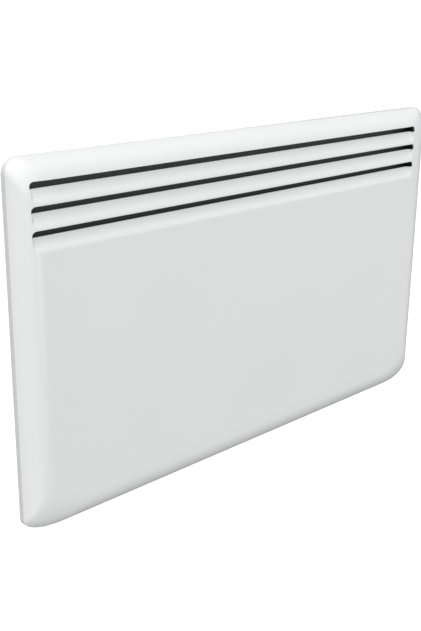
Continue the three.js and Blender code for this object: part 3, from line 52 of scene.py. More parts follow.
ahead = Vector((
    math.sin(VIEW_YAW) * math.cos(VIEW_PITCH),
    math.cos(VIEW_YAW) * math.cos(VIEW_PITCH),
    -math.sin(VIEW_PITCH),
))
level = Vector((math.cos(VIEW_YAW), -math.sin(VIEW_YAW), 0))
under = ahead.cross(level)
across = level * math.cos(VIEW_ROLL) + under * math.sin(VIEW_ROLL)
down = under * math.cos(VIEW_ROLL) - level * math.sin(VIEW_ROLL)
camera = bpy.data.objects.new("viewpoint", bpy.data.cameras.new("viewpoint"))
camera.data.sensor_width = SENSOR
camera.data.lens = FOCAL_PIXELS / IMAGE_HEIGHT * SENSOR
camera.data.clip_start = NEAREST
camera.matrix_world = Matrix.Translation(VIEW_PLACE) @ Matrix(
    (across, -down, -ahead)).transposed().to_4x4()
bpy.context.scene.collection.objects.link(camera)
bpy.context.scene.camera = camera

# The front panel --------------------------------
# One pressed steel tray, powder-coated white outside: a flat face, a soft roll to a short flange,
# a return lip behind it for the rim screws, and three louvres whose ramps are pushed in.
MM = 0.001
PAST = 1  # how far a cutter reaches past what it cuts
SHEET = 1.2
WIDTH, HEIGHT = 675, 400
FRONT, FLANGE_REAR = -84.242, -59
ROLL_RADIUS = 32.5
ROLL_ANGLE = math.radians(62)
ROLL_WIDTH = ROLL_RADIUS * math.sin(ROLL_ANGLE)
ROLL_EASE = 0.35  # how gently the roll leaves the face
CORNER = 16
LOWER_REACH, LOWER_RISE = 45, 18  # the lower corners are drawn out along the bottom edge
CORNER_GROWTH = 0.7  # how much larger a corner gets towards the face, for each step inwards
LIP = 9
REAR_BEND = 1.6
CREASE_BEND = 1.2
LOUVRE_LIPS = (177.6, 153.8, 130.0)
LOUVRE_X = (-320.5, 301.5)
LOUVRE_GAP, LOUVRE_RECESS, RAMP_HEIGHT, LOUVRE_CORNER = 7.6, 7, 15.5, 5
END_BLEND = 4  # over which a ramp rises to the face at each end
RAMP_LEAN = 0.8  # below 1 where a ramp is steepest above its middle
RIM_SCREWS = ((-200, 194.5), (200, 194.5), (-200, -194.5), (200, -194.5), (-332, 0), (332, 0))
SCREW_HOLE = 1.8
SIDEWAYS = 0.2  # the most that a normal leans out of the wall's plane on a face that looks sideways
SHADE_INTO_FLANGE = 8  # how far the back coat's painted shade reaches inside the flange


class Socket:
    """An output in a finish's node tree. Sums written on it become Math nodes."""

    def __init__(self, tree, output=None):
        self.tree = tree
        self.output = output

    def node(self, kind, settings=None, sockets=None, out=0):
        made = self.tree.nodes.new("ShaderNode" + kind)
        for key, value in (settings or {}).items():
            if key == "stops":
                ramp = made.color_ramp.elements
                while len(ramp) < len(value):
                    ramp.new(1)
                for stop, (place, colour) in zip(ramp, value):
                    stop.position, stop.color = place, (*colour, 1)
            else:
                setattr(made, key, value)
        for key, value in (sockets or {}).items():
            if isinstance(value, Socket):
                self.tree.links.new(value.output, made.inputs[key])
            else:
                made.inputs[key].default_value = value
        return Socket(self.tree, made.outputs[out])

    def math(self, operation, other):
        return self.node("Math", {"operation": operation}, {0: self, 1: other})

    def __add__(self, other):
        return self.math("ADD", other)

    def __mul__(self, other):
        return self.math("MULTIPLY", other)

    __radd__ = __add__
    __rmul__ = __mul__

    def between(self, low, high):
        """0 below low, 1 above high, and a smooth rise between."""
        sockets = {"Value": self, "From Min": low, "From Max": high}
        return self.node("MapRange", {"interpolation_type": "SMOOTHSTEP"}, sockets)

    def blend(self, first, second):
        """The first colour where this is 0 and the second where it is 1."""
        return self.node("Mix", {"data_type": "RGBA"}, {0: self, 6: (*first, 1), 7: (*second, 1)}, out=2)


class Finish:
    """A finish: its material, its slot in the part's list of materials, and the socket that carries
    a point's place on the object."""

    def __init__(self, name, slot=None):
        self.slot = slot
        self.material = bpy.data.materials.new(name)
        self.material.use_nodes = True
        self.tree = self.material.node_tree
        self.shader = self.tree.nodes["Principled BSDF"]
        self.place = Socket(self.tree).node("TexCoord", out="Object")

    def grain(self, per_metre, detail=2.0, stretch=(1, 1, 1), rough=0.5):
        spread = self.place.node("VectorMath", {"operation": "MULTIPLY"}, {0: self.place, 1: stretch})
        sockets = {"Vector": spread, "Scale": per_metre, "Detail": detail, "Roughness": rough}
        return self.place.node("TexNoise", None, sockets)

    def relief(self, height, millimetres, under=None):
        sockets = {"Height": height, "Distance": millimetres * MM, "Strength": 1.0}
        if under:
            sockets["Normal"] = under
        return self.place.node("Bump", None, sockets)

    def set(self, sockets):
        for key, value in sockets.items():
            if isinstance(value, Socket):
                self.tree.links.new(value.output, self.shader.inputs[key])
            elif isinstance(value, tuple):
                self.shader.inputs[key].default_value = (*value, 1)
            else:
                self.shader.inputs[key].default_value = value
        return self


def powder_coat():
    coat = Finish("white_powder_coat", "white_powder_coat")
    cloud = coat.grain(9, 2)
    peel = coat.grain(520, 1.5)
    dust = coat.grain(2600, 1)
    return coat.set({
        "Base Color": cloud.blend((0.775, 0.792, 0.786), (0.800, 0.814, 0.808)),
        "Roughness": 0.36 + 0.08 * coat.grain(180, 3),
        "Specular IOR Level": 0.5,
        "Normal": coat.relief(dust, 0.004, coat.relief(peel, 0.022)),
    })


def shaded_inside_coat():
    """The thin back coat on the sheet's inside, dark grey as painted shade: the inside is white and lies
    in shadow.
    """
    coat = Finish("painted_shade_back_coat")
    return coat.set({
        "Base Color": coat.grain(70, 4).blend((0.13, 0.135, 0.135), (0.18, 0.185, 0.185)),
        "Roughness": 0.62 + 0.1 * coat.grain(500, 2),
        "Normal": coat.relief(coat.grain(900, 2), 0.01),
    })


def shown(name, body, finish, mesh, node=None, width=0, sharp=30):
    """Puts a mesh in the scene as a piece that rides on a body and stands for a CAD node. Edges
    sharper than an angle get small radii of a width, and the rest is shaded smooth."""
    piece = bpy.data.objects.new(name, mesh)
    bpy.context.scene.collection.objects.link(piece)
    mesh.materials.clear()
    mesh.materials.append(finish.material)
    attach(piece, body)
    if node:
        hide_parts(node)
    angle = math.radians(sharp)
    mesh.shade_smooth()
    mesh.set_sharp_from_angle(angle=angle)
    if width:
        bevel = piece.modifiers.new("radii", "BEVEL")
        bevel.width, bevel.segments, bevel.angle_limit = width * MM, 2, angle
        bevel.limit_method, bevel.use_clamp_overlap = "ANGLE", True
        bevel.miter_outer = "MITER_ARC"
    shading = piece.modifiers.new("shading", "WEIGHTED_NORMAL")
    shading.keep_sharp = True
    return piece


def mesh_from(form, name="form"):
    bmesh.ops.recalc_face_normals(form, faces=form.faces[:])
    mesh = bpy.data.meshes.new(name)
    form.to_mesh(mesh)
    form.free()
    return mesh


def loft(rings, closed=False):
    """A closed solid through rings of points in millimetres."""
    form = bmesh.new()
    made = [[form.verts.new(Vector(point) * MM) for point in ring] for ring in rings]
    pairs = list(zip(made, made[1:]))
    if closed:
        pairs.append((made[-1], made[0]))
    else:
        form.faces.new(made[0])
        form.faces.new(made[-1])
    for near, far in pairs:
        for i in range(len(near)):
            j = (i + 1) % len(near)
            form.faces.new((near[i], near[j], far[j], far[i]))
    return mesh_from(form)


def prism(axis, outline, span):
    """An outline swept along an axis: (y, z) along x, (x, z) along y, (x, y) along z."""
    lay = {
        "x": lambda u, v, w: (w, u, v),
        "y": lambda u, v, w: (u, w, v),
        "z": lambda u, v, w: (u, v, w),
    }[axis]
    return loft([[lay(u, v, w) for u, v in outline] for w in span])


def carved(base, steps):
    """A mesh after a row of boolean steps, each an operation and its tool mesh."""
    body = bpy.data.objects.new("blank", base)
    bpy.context.scene.collection.objects.link(body)
    tools = []
    for operation, mesh in steps:
        tool = bpy.data.objects.new("tool", mesh)
        bpy.context.scene.collection.objects.link(tool)
        tools.append(tool)
        step = body.modifiers.new("step", "BOOLEAN")
        step.operation, step.object, step.solver = operation, tool, "MANIFOLD"
    graph = bpy.context.evaluated_depsgraph_get()
    mesh = bpy.data.meshes.new_from_object(body.evaluated_get(graph))
    for leftover in (body, *tools):
        bpy.data.objects.remove(leftover)
    return mesh


def joined(meshes):
    """Meshes that don't touch, as one."""
    form = bmesh.new()
    for mesh in meshes:
        form.from_mesh(mesh)
    return mesh_from(form)


def arc(centre, radius, start, stop, steps):
    """Points on a circle, with angles in degrees."""
    turns = [math.radians(start + (stop - start) * i / steps) for i in range(steps + 1)]
    return [(centre[0] + radius * math.cos(t), centre[1] + radius * math.sin(t)) for t in turns]


def circle(centre, radius, sides=20):
    return arc(centre, radius, 0, 360 - 360 / sides, sides - 1)


def rounded(x, z, radius, steps=6):
    """A rectangle with round corners, between two values each way."""
    low_x, high_x, low_z, high_z = x[0] + radius, x[1] - radius, z[0] + radius, z[1] - radius
    return (
        arc((high_x, high_z), radius, 0, 90, steps) + arc((low_x, high_z), radius, 90, 180, steps)
        + arc((low_x, low_z), radius, 180, 270, steps) + arc((high_x, low_z), radius, 270, 360, steps)
    )


def upright(outline, y):
    """An outline of (x, z) points, stood up at a depth."""
    return [(x, y, z) for x, z in outline]


def panel_outline(inset, shrink):
    """The panel's outline moved inwards, its corners smaller by the given shrink."""
    upper, lower = (CORNER, CORNER), (LOWER_REACH, LOWER_RISE)
    corners = ((1, 1, upper), (-1, 1, upper), (-1, -1, lower), (1, -1, lower))
    steps = 18
    outline = []
    for turn, (side_x, side_z, size) in enumerate(corners):
        wide, tall = size[0] - shrink, size[1] - shrink
        x, z = side_x * (WIDTH / 2 - inset - wide), side_z * (HEIGHT / 2 - inset - tall)
        for step in range(steps + 1):
            angle = (turn + step / steps) * math.pi / 2
            outline.append((x + wide * math.cos(angle), z + tall * math.sin(angle)))
    return outline


def roll_depth(inset, offset=0):
    """How far the roll has fallen behind the face at an inset from the outline."""
    width, radius = ROLL_WIDTH - offset, ROLL_RADIUS - offset
    share = min(max((ROLL_WIDTH - inset) / width, 0), 1)
    return (radius - math.sqrt(radius ** 2 - (share * width) ** 2)) * share ** ROLL_EASE


def panel_form(offset, rear, rear_bend, crease):
    """The tray's form, moved inwards by an offset: a rear bend, the flange, the crease, the roll."""
    profile = arc((offset + rear_bend, rear - rear_bend), rear_bend, 90, 180, 5)
    # the crease is an arc that leaves the flange and meets the roll at the roll's own slope
    fallen, probe = roll_depth(offset, offset), 0.05
    slope = (fallen - roll_depth(offset + probe, offset)) / probe
    turn = math.pi / 2 - math.atan(slope)
    reach = crease * math.tan(turn / 2)
    middle = (offset + crease, FRONT + offset + fallen + reach)
    profile += arc(middle, crease, 180, 180 + math.degrees(turn), 4)
    first, steps, crowding = offset + reach * math.sin(turn), 34, 1.3
    for i in range(1, steps + 1):
        inset = first + (ROLL_WIDTH - first) * math.sin(math.pi / 2 * i / steps) ** crowding
        profile.append((inset, FRONT + offset + roll_depth(inset, offset)))
    rings = []
    for inset, y in profile:
        shrink = offset - CORNER_GROWTH * max(inset - offset - rear_bend, 0)
        rings.append(upright(panel_outline(inset, shrink), y))
    return loft(rings)


def rise(share):
    return share * share * (3 - 2 * share)


def ramp(lip, offset, x):
    """The ramp's section at a place along the louvre. It meets the panel's surface at each end."""
    end = rise(min(max(min(x - LOUVRE_X[0], LOUVRE_X[1] - x) / END_BLEND, 0), 1))
    fallen = roll_depth(x + WIDTH / 2)
    steps = 22
    points = []
    for i in range(steps + 1):
        depth = fallen * (1 - end) + LOUVRE_RECESS * (1 - rise((i / steps) ** RAMP_LEAN)) * end
        points.append((FRONT + depth + offset, lip - LOUVRE_GAP - RAMP_HEIGHT * i / steps))
    return points


def along_louvre(section):
    """A solid through a section that changes over the blends at a louvre's two ends."""
    steps = 10
    blend = [END_BLEND * i / steps for i in range(steps + 1)]
    stations = [LOUVRE_X[0] + b for b in blend] + [LOUVRE_X[1] - b for b in reversed(blend)]
    return loft([[(x, y, z) for y, z in section(x)] for x in stations])


def louvre_pocket(lip, form):
    def section(x):
        back = ramp(lip, SHEET, x)
        return [(FRONT, back[0][1]), *back, (FRONT, back[-1][1])]
    return carved(along_louvre(section), [("INTERSECT", form.copy())])


def louvre_cutter(lip):
    clear, behind = FRONT - ROLL_RADIUS, FRONT + LOUVRE_RECESS + SHEET * 3
    foot = lip - LOUVRE_GAP - RAMP_HEIGHT - PAST

    def section(x):
        front = ramp(lip, 0, x)
        foot_edge = [(FRONT - 0.4, foot), (clear, foot)]
        return [(clear, lip), (behind, lip), (behind, front[0][1]), *front, *foot_edge]
    window = rounded(LOUVRE_X, (foot - LOUVRE_CORNER * 2, lip), LOUVRE_CORNER, 8)
    window = prism("y", window, (clear - PAST, behind + PAST))
    return carved(along_louvre(section), [("INTERSECT", window)])


def hole(x, z, span, radius=SCREW_HOLE):
    return prism("y", circle((x, z), radius), span)


def front_panel():
    behind = (FLANGE_REAR - SHEET * 2, FLANGE_REAR + PAST)
    inner_bend = REAR_BEND - SHEET + 0.01
    buried = panel_form(0.4 * SHEET, FLANGE_REAR, 0.2, 0.5)  # the pockets end inside the sheet
    return carved(panel_form(0, FLANGE_REAR, REAR_BEND, CREASE_BEND), [
        ("DIFFERENCE", panel_form(SHEET, FLANGE_REAR - SHEET, inner_bend, CREASE_BEND)),
        ("DIFFERENCE", prism("y", panel_outline(LIP, LIP), behind)),
        *[("UNION", louvre_pocket(lip, buried)) for lip in LOUVRE_LIPS],
        *[("DIFFERENCE", louvre_cutter(lip)) for lip in LOUVRE_LIPS],
        ("DIFFERENCE", joined([hole(x, z, behind) for x, z in RIM_SCREWS])),
    ])


panel = shown("pressed_front_panel", "heater", powder_coat(), front_panel(), "front_panel", 0.3)
panel.data.materials.append(shaded_inside_coat().material)
# The sheet's inside and the flange's inner side near its rear take the dark back coat, which is painted
# shade for the white inside of the tray lying in shadow.
for face in panel.data.polygons:
    y = face.center.y / MM
    inwards = face.normal.x * face.center.x + face.normal.z * face.center.z < 0
    in_flange = inwards and abs(face.normal.y) < SIDEWAYS and y > FLANGE_REAR - SHADE_INTO_FLANGE
    if y < FLANGE_REAR - SHEET / 2 and (face.normal.y > SIDEWAYS or in_flange):
        face.material_index = 1

# The air deflector ------------------------------
# A thin sheet behind the louvres, screwed to the casing's rim. Its dark coat is painted shade for
# the shadowed inside seen through the slots. Its lower edge curls back into the tray and turns the
# rising air out of the slots.


# Both dark colours are painted shade: the heater's shadowed inside as seen through the louvres.
def painted_shade_coat():
    coat = Finish("dark_powder_coat", "dark_powder_coat")
    fleck = coat.grain(420, 4)
    return coat.set({
        "Base Color": fleck.blend((0.085, 0.092, 0.089), (0.120, 0.130, 0.125)),
        "Roughness": 0.55 + 0.15 * coat.grain(160, 2),
        "Normal": coat.relief(coat.grain(900, 2), 0.03),
    })


def copied(name, node, body, finish, width=0.25, sharp=40):
    """A CAD node's own form with its flat faces cleaned, its edges eased and a finish."""
    form = bmesh.new()
    form.from_mesh(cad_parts[node].data)
    bmesh.ops.remove_doubles(form, verts=form.verts[:], dist=0.002 * MM)
    flat = math.radians(0.5)
    bmesh.ops.dissolve_limit(form, angle_limit=flat, verts=form.verts[:], edges=form.edges[:])
    shown(name, body, finish, mesh_from(form, name), node, width, sharp)


copied("painted_shade_air_deflector", "air_deflector", "heater", painted_shade_coat(), 0.15, 30)

# The rear casing --------------------------------
# A tray drawn from galvanised sheet, with three ribs pressed into its back. Its rim is screwed
# to the panel's lip, air enters through the slots in its floor, and its back is cut for the
# bracket's hooks and latches.
TRAY_X, TRAY_Z, TRAY_CORNER = (-315.5, 242.5), (-178, 178), 12
RIM_FRONT, RIM_BACK, RIM_INSET = -58.7, -57.7, 2
CASING_BACK, CASING_INNER = -30, -31
RIM_FLARE, BACK_BEND = 0.4, 3
HOOK_X, HOOK_Z = 186, -150
HOOK_SLOT_HALF, HOOK_SLOT_HEIGHT, HOOK_SLOT_CORNER = 4.2, 21, 0.8
LATCH_X, LATCH_Z = 170, 96
LATCH_SLOT_HALF, LATCH_SLOT_CORNER = (12, 4.5), 2
RIBS_X, RIBS_Z = (-245, 175), (140, 68, -76)
RIB_HALF, RIB_DEPTH, RIB_SLOPE = 3.5, 1.5, 2
RIVETS = ((-210.5, 46), (137.5, 46))
SUPPORT_SCREWS = ((-294.5, -110), (221.5, -110))
EARTH_SCREW = (215.5, -10)
DEFLECTOR_SCREWS = ((-100, 184), (100, 184))
HOUSING_SCREWS = ((303, -45), (252, -176))
INLETS, INLET_FIRST, INLET_LAST, INLET_LENGTH = 8, -295.5, 170.5, 52
INLET_Y, INLET_CORNER = (-51.35, -37.35), 4.6
CONTROL_Y = -44.2  # the depth of all the controls, the gland and the grommet
GROMMET_Z, GROMMET_HOLE = -50, 7


def galvanised():
    zinc = Finish("galvanised_sheet", "zinc_plate")
    cell = {"Vector": zinc.place, "Scale": 230.0, "Randomness": 1.0}
    spangle = zinc.place.node("TexVoronoi", {"feature": "F1"}, cell, out="Color")
    tone = spangle.node("SeparateColor", None, {"Color": spangle})
    haze = zinc.grain(35, 3)
    return zinc.set({
        "Base Color": (0.65 * tone + 0.35 * haze).blend((0.49, 0.51, 0.52), (0.67, 0.69, 0.70)),
        "Metallic": 1.0,
        "Roughness": 0.38 + 0.12 * tone + 0.05 * haze,
        "Normal": zinc.relief(zinc.grain(1100, 2), 0.006),
    })


def tray_form(start, sheet):
    """The tray's outer surface, or its inner one a sheet's thickness in, as a solid."""
    rim_bend, back_bend = RIM_FLARE + sheet, BACK_BEND - sheet
    profile = [(RIM_FLARE, start)]
    profile += arc((RIM_FLARE, RIM_BACK + RIM_FLARE), rim_bend, 270, 180, 6)
    profile += arc((-BACK_BEND, CASING_BACK - BACK_BEND), back_bend, 0, 90, 6)
    rings = []
    for grow, y in profile:
        x, z = (TRAY_X[0] - grow, TRAY_X[1] + grow), (TRAY_Z[0] - grow, TRAY_Z[1] + grow)
        rings.append(upright(rounded(x, z, TRAY_CORNER + grow, 10), y))
    return loft(rings)


def rib_form(z, grow, outside, inside):
    """A rib's form that narrows inwards between two depths."""
    rings = []
    for more, y in ((grow + RIB_SLOPE, outside), (grow, inside)):
        reach = RIB_HALF + more
        shape = rounded((RIBS_X[0] - more, RIBS_X[1] + more), (z - reach, z + reach), reach - 0.01, 8)
        rings.append(upright(shape, y))
    return loft(rings)


def rear_casing():
    back = (CASING_INNER - PAST, CASING_BACK + PAST)
    rim = (RIM_FRONT - PAST, RIM_BACK + PAST)
    openings = [hole(x, z, back) for x, z in (*RIVETS, *SUPPORT_SCREWS, EARTH_SCREW)]
    openings += [hole(x, z, rim) for x, z in RIM_SCREWS + DEFLECTOR_SCREWS + HOUSING_SCREWS]
    wide, tall = LATCH_SLOT_HALF
    for side in (-1, 1):
        arm, latch = side * HOOK_X, side * LATCH_X
        for x, z, corner in (
                ((arm - HOOK_SLOT_HALF, arm + HOOK_SLOT_HALF), (HOOK_Z - HOOK_SLOT_HEIGHT, HOOK_Z),
                 HOOK_SLOT_CORNER),
                ((latch - wide, latch + wide), (LATCH_Z - tall, LATCH_Z + tall), LATCH_SLOT_CORNER)):
            openings.append(prism("y", rounded(x, z, corner), back))
    for i in range(INLETS):
        x = INLET_FIRST + (INLET_LAST - INLET_FIRST) * i / (INLETS - 1)
        slot = rounded((x, x + INLET_LENGTH), INLET_Y, INLET_CORNER, 8)
        openings.append(prism("z", slot, (TRAY_Z[0] - PAST, TRAY_Z[0] + 2)))
    lead_hole = circle((CONTROL_Y, GROMMET_Z), GROMMET_HOLE, 40)
    openings.append(prism("x", lead_hole, (TRAY_X[1] - 2, TRAY_X[1] + PAST)))
    bumps = [rib_form(z, 1, CASING_INNER + 0.5, CASING_INNER - RIB_DEPTH) for z in RIBS_Z]
    grooves = [rib_form(z, 0, CASING_BACK + 0.1, CASING_BACK - RIB_DEPTH) for z in RIBS_Z]
    return carved(tray_form(RIM_FRONT + 0.5, 0), [
        ("UNION", prism("y", panel_outline(RIM_INSET, RIM_INSET), (RIM_FRONT, RIM_BACK))),
        ("DIFFERENCE", tray_form(RIM_FRONT - PAST, 1)),
        ("UNION", joined(bumps)),
        ("DIFFERENCE", joined(grooves)),
        ("DIFFERENCE", joined(openings)),
    ])


galvanised_sheet = galvanised()
shown("drawn_rear_casing", "heater", galvanised_sheet, rear_casing(), "rear_casing", 0.15)

# The screws -------------------------------------
# Zinc-plated steel screws with pan heads and cross recesses, all of one pattern. They hold the
# casing to the panel, the deflector, the element's supports, the housing, its cover and the earth.
SHANK, ROOT, HEAD, HEAD_TOP, SEAT_GAP = 1.5, 1.2, 3.5, 2.5, 0.3
THREAD_PITCH = 0.8
LAST_TURN = 1.9  # how much further round each screw ends than the one before, in radians
COVER_SCREWS = ((316.5, -43), (250.5, -150))
BOX_Y = (-57.4, -31)
SCREWS = (  # nodes, reach, 1 for a head towards the wall or -1 towards the room, seat, places
    ([f"casing_screw_{i}" for i in range(1, 7)], 6, 1, RIM_BACK, RIM_SCREWS),
    (("deflector_screw_1", "deflector_screw_2"), 5, -1, -59.8, DEFLECTOR_SCREWS),
    (("support_screw_left", "support_screw_right"), 5, -1, -32.3, SUPPORT_SCREWS),
    (("cover_screw_1", "cover_screw_2"), 12, 1, BOX_Y[1], COVER_SCREWS),
    (("housing_screw_1", "housing_screw_2"), 6, 1, -55.2, HOUSING_SCREWS),
    (("earth_screw",), 5, -1, CASING_INNER, (EARTH_SCREW,)),
)


def bright_zinc():
    zinc = Finish("bright_zinc", "zinc_plate")
    tint = 0.5 * zinc.grain(260, 3) + 0.5 * zinc.grain(14, 4, (1, 1, 0.2))
    drawn = zinc.grain(700, 3, (0.05, 1, 1))
    return zinc.set({
        "Base Color": tint.blend((0.47, 0.49, 0.50), (0.70, 0.70, 0.67)),
        "Metallic": 1.0,
        "Roughness": 0.26 + 0.12 * drawn + 0.08 * tint,
        "Normal": zinc.relief(drawn, 0.006),
    })


def turned(axis, centre, profile, sides=32, ring=False):
    """A turned form about an axis, from (place along it, radius) pairs. A ring's profile closes."""
    lay = {
        "x": lambda a, u, v: (a, centre[0] + u, centre[1] + v),
        "y": lambda a, u, v: (centre[0] + u, a, centre[1] + v),
        "z": lambda a, u, v: (centre[0] + u, centre[1] + v, a),
    }[axis]
    turns = [2 * math.pi * i / sides for i in range(sides)]
    rings = [[lay(a, r * math.cos(t), r * math.sin(t)) for t in turns] for a, r in profile]
    return loft(rings, ring)


def oblong(u, v):
    """A plain rectangle between two values each way."""
    return [(u[0], v[0]), (u[1], v[0]), (u[1], v[1]), (u[0], v[1])]


def cross_screw(reach):
    """A screw along Z, its seat at 0, its head upwards and its tip a reach below."""
    profile = [(-reach, 0.6), (0.5 - reach, ROOT)]
    place = 0.5 - reach
    while place + THREAD_PITCH < 0:
        profile += [(place + THREAD_PITCH / 2, SHANK), (place + THREAD_PITCH, ROOT)]
        place += THREAD_PITCH
    profile += [(0, SHANK), (SEAT_GAP, SHANK), (SEAT_GAP, HEAD - 0.15), (SEAT_GAP + 0.15, HEAD)]
    profile += [(1.1, HEAD), (1.65, 3.2), (2.15, 2.5), (HEAD_TOP, 1.2)]
    wedges = []
    for long_x in (True, False):
        rings = []
        for depth, length, width in ((HEAD_TOP + 0.1, 1.9, 0.45), (1.1, 0.9, 0.3)):
            u, v = (length, width) if long_x else (width, length)
            rings.append([(x, y, depth) for x, y in oblong((-u, u), (-v, v))])
        wedges.append(("DIFFERENCE", loft(rings)))
    return carved(turned("z", (0, 0), profile, 28), wedges)


zinc_plating = bright_zinc()
screw_patterns = {reach: cross_screw(reach) for reach in (5, 6, 12)}
turn = 0
for nodes, reach, away, seat, places in SCREWS:
    for node, (x, z) in zip(nodes, places):
        screw = screw_patterns[reach].copy()
        stand = Matrix.Rotation(math.radians(-90 * away), 4, "X") @ Matrix.Rotation(turn, 4, "Z")
        screw.transform(Matrix.Translation(Vector((x, seat, z)) * MM) @ stand)
        shown(node + "_cross_head", "heater", zinc_plating, screw, node, 0, 35)
        turn += LAST_TURN

# The heating element ----------------------------
# A mineral-filled steel rod pressed through a finned body of cast aluminium. Steatite bushes
# carry its ends in two sheet brackets, and a flat blade is welded on each end for its lead.
ROD_X = (SUPPORT_SCREWS[0][0], SUPPORT_SCREWS[1][0])
ELEMENT_Y, ELEMENT_Z = -55, -95
ROD, BUSH, BUSH_FLANGE, BORE, STUB = 4, 7, 9.5, 4.3, 3
BLADE_HALF, BLADE_SHEET, BLADE_EYE = 3.15, 0.8, 0.9


def cast_aluminium():
    cast = Finish("cast_aluminium", "aluminium")
    skin = cast.grain(700, 4, rough=0.65)
    stain = cast.grain(22, 3)
    return cast.set({
        "Base Color": stain.blend((0.50, 0.51, 0.52), (0.66, 0.67, 0.68)),
        "Metallic": 1.0,
        "Roughness": 0.42 + 0.2 * skin,
        "Normal": cast.relief(skin, 0.05),
    })


def heat_tint():
    sheath = Finish("element_sheath", "element_sheath")
    bands = sheath.grain(16, 3, (1, 0.2, 0.2))
    stops = [
        (0.30, (0.10, 0.11, 0.15)), (0.45, (0.19, 0.14, 0.12)),
        (0.60, (0.33, 0.25, 0.14)), (0.75, (0.27, 0.26, 0.25)),
    ]
    return sheath.set({
        "Base Color": bands.node("ValToRGB", {"stops": stops}, {"Fac": bands}),
        "Metallic": 1.0,
        "Roughness": 0.38 + 0.2 * sheath.grain(420, 3, (0.2, 1, 1)),
        "Normal": sheath.relief(sheath.grain(1500, 2, (0.1, 1, 1)), 0.006),
    })


def steatite():
    ceramic = Finish("steatite", "ceramic")
    speck = ceramic.grain(1300, 2).between(0.62, 0.70)
    return ceramic.set({
        "Base Color": speck.blend((0.80, 0.76, 0.68), (0.55, 0.49, 0.40)),
        "Roughness": 0.55 + 0.2 * ceramic.grain(200, 3),
        "Normal": ceramic.relief(ceramic.grain(1800, 3), 0.03),
    })


def nickel_plate():
    nickel = Finish("nickel_plate", "nickel")
    scratch = nickel.grain(500, 3, (0.15, 1, 1))
    return nickel.set({
        "Base Color": nickel.grain(90, 2).blend((0.52, 0.49, 0.43), (0.66, 0.63, 0.57)),
        "Metallic": 1.0,
        "Roughness": 0.2 + 0.18 * scratch,
        "Normal": nickel.relief(scratch, 0.004),
    })


def from_end(side, inwards):
    """A place along the rod, measured inwards from its left or right end."""
    return ROD_X[0] + inwards if side == "left" else ROD_X[1] - inwards


def blade(place, root, tip, eye, y, z):
    """A flat push-on blade along X and the hole for its eye, laid by a rule from reach to place."""
    shoulder, half = tip - 1.1, BLADE_HALF
    outline = [(root, -half), (shoulder, -half), (tip, -2), (tip, 2), (shoulder, half), (root, half)]
    outline = [(place(reach), z + v) for reach, v in outline]
    flat = prism("y", outline, (y - BLADE_SHEET / 2, y + BLADE_SHEET / 2))
    return flat, hole(place(eye), z, (y - PAST, y + PAST), BLADE_EYE)


copied("cast_fins", "element_fins", "heater", cast_aluminium(), 0.2)
nickel_finish, steatite_finish = nickel_plate(), steatite()
rod = [(0, 3.3), (0.7, ROD), (3.4, ROD), (3.7, ROD - 0.3), (4.3, ROD - 0.3), (4.6, ROD)]
rod = [(ROD_X[0] + a, r) for a, r in rod] + [(ROD_X[1] - a, r) for a, r in reversed(rod)]
rod = turned("x", (ELEMENT_Y, ELEMENT_Z), rod)
shown("sheathed_rod", "heater", heat_tint(), rod, "element_rod")
for side in ("left", "right"):
    support = f"element_support_{side}"
    copied(f"rod_support_{side}", support, "heater", galvanised_sheet, 0.4)
    bush = [
        (3, BUSH - 0.5), (3.4, BUSH), (9.3, BUSH), (9.3, BUSH_FLANGE - 0.4), (9.6, BUSH_FLANGE),
        (11.5, BUSH_FLANGE), (11.8, BUSH_FLANGE - 0.3), (11.8, BORE + 0.4), (11.4, BORE), (3.4, BORE),
        (3, BORE + 0.4),
    ]
    bush = turned("x", (ELEMENT_Y, ELEMENT_Z), [(from_end(side, a), r) for a, r in bush], 32, True)
    node = f"element_bush_{side}"
    shown(f"steatite_bush_{side}", "heater", steatite_finish, bush, node, 0.15)
    stub = [(0.3, STUB - 0.3), (0.6, STUB), (3.9, STUB), (4.3, STUB - 0.4)]
    stub = turned("x", (ELEMENT_Y, ELEMENT_Z), [(from_end(side, -a), r) for a, r in stub], 24)
    flat, eye = blade(lambda reach: from_end(side, -reach), 3.3, 12.3, 9, ELEMENT_Y, ELEMENT_Z)
    terminal = carved(stub, [("UNION", flat), ("DIFFERENCE", eye)])
    node = f"element_terminal_{side}"
    shown(f"welded_blade_{side}", "heater", nickel_finish, terminal, node, 0.1)

# The heat shield and its rivets -----------------
# A flat sheet of aluminised steel on four round feet keeps the element's heat off the casing's
# back. Two zinc-plated rivets through its upper feet hold it to the casing.
RIVET_HEAD, RIVET_TAIL = (-38.4, -37.1), (-29.7, -28.4)


def aluminised():
    sheet = Finish("aluminised_sheet", "aluminised_steel")
    rolling = sheet.grain(240, 3, (0.04, 1, 1))
    bloom = sheet.grain(30, 4)
    return sheet.set({
        "Base Color": bloom.blend((0.60, 0.61, 0.62), (0.73, 0.74, 0.74)),
        "Metallic": 1.0,
        "Roughness": 0.22 + 0.16 * rolling + 0.1 * bloom,
        "Normal": sheet.relief(rolling, 0.008),
    })


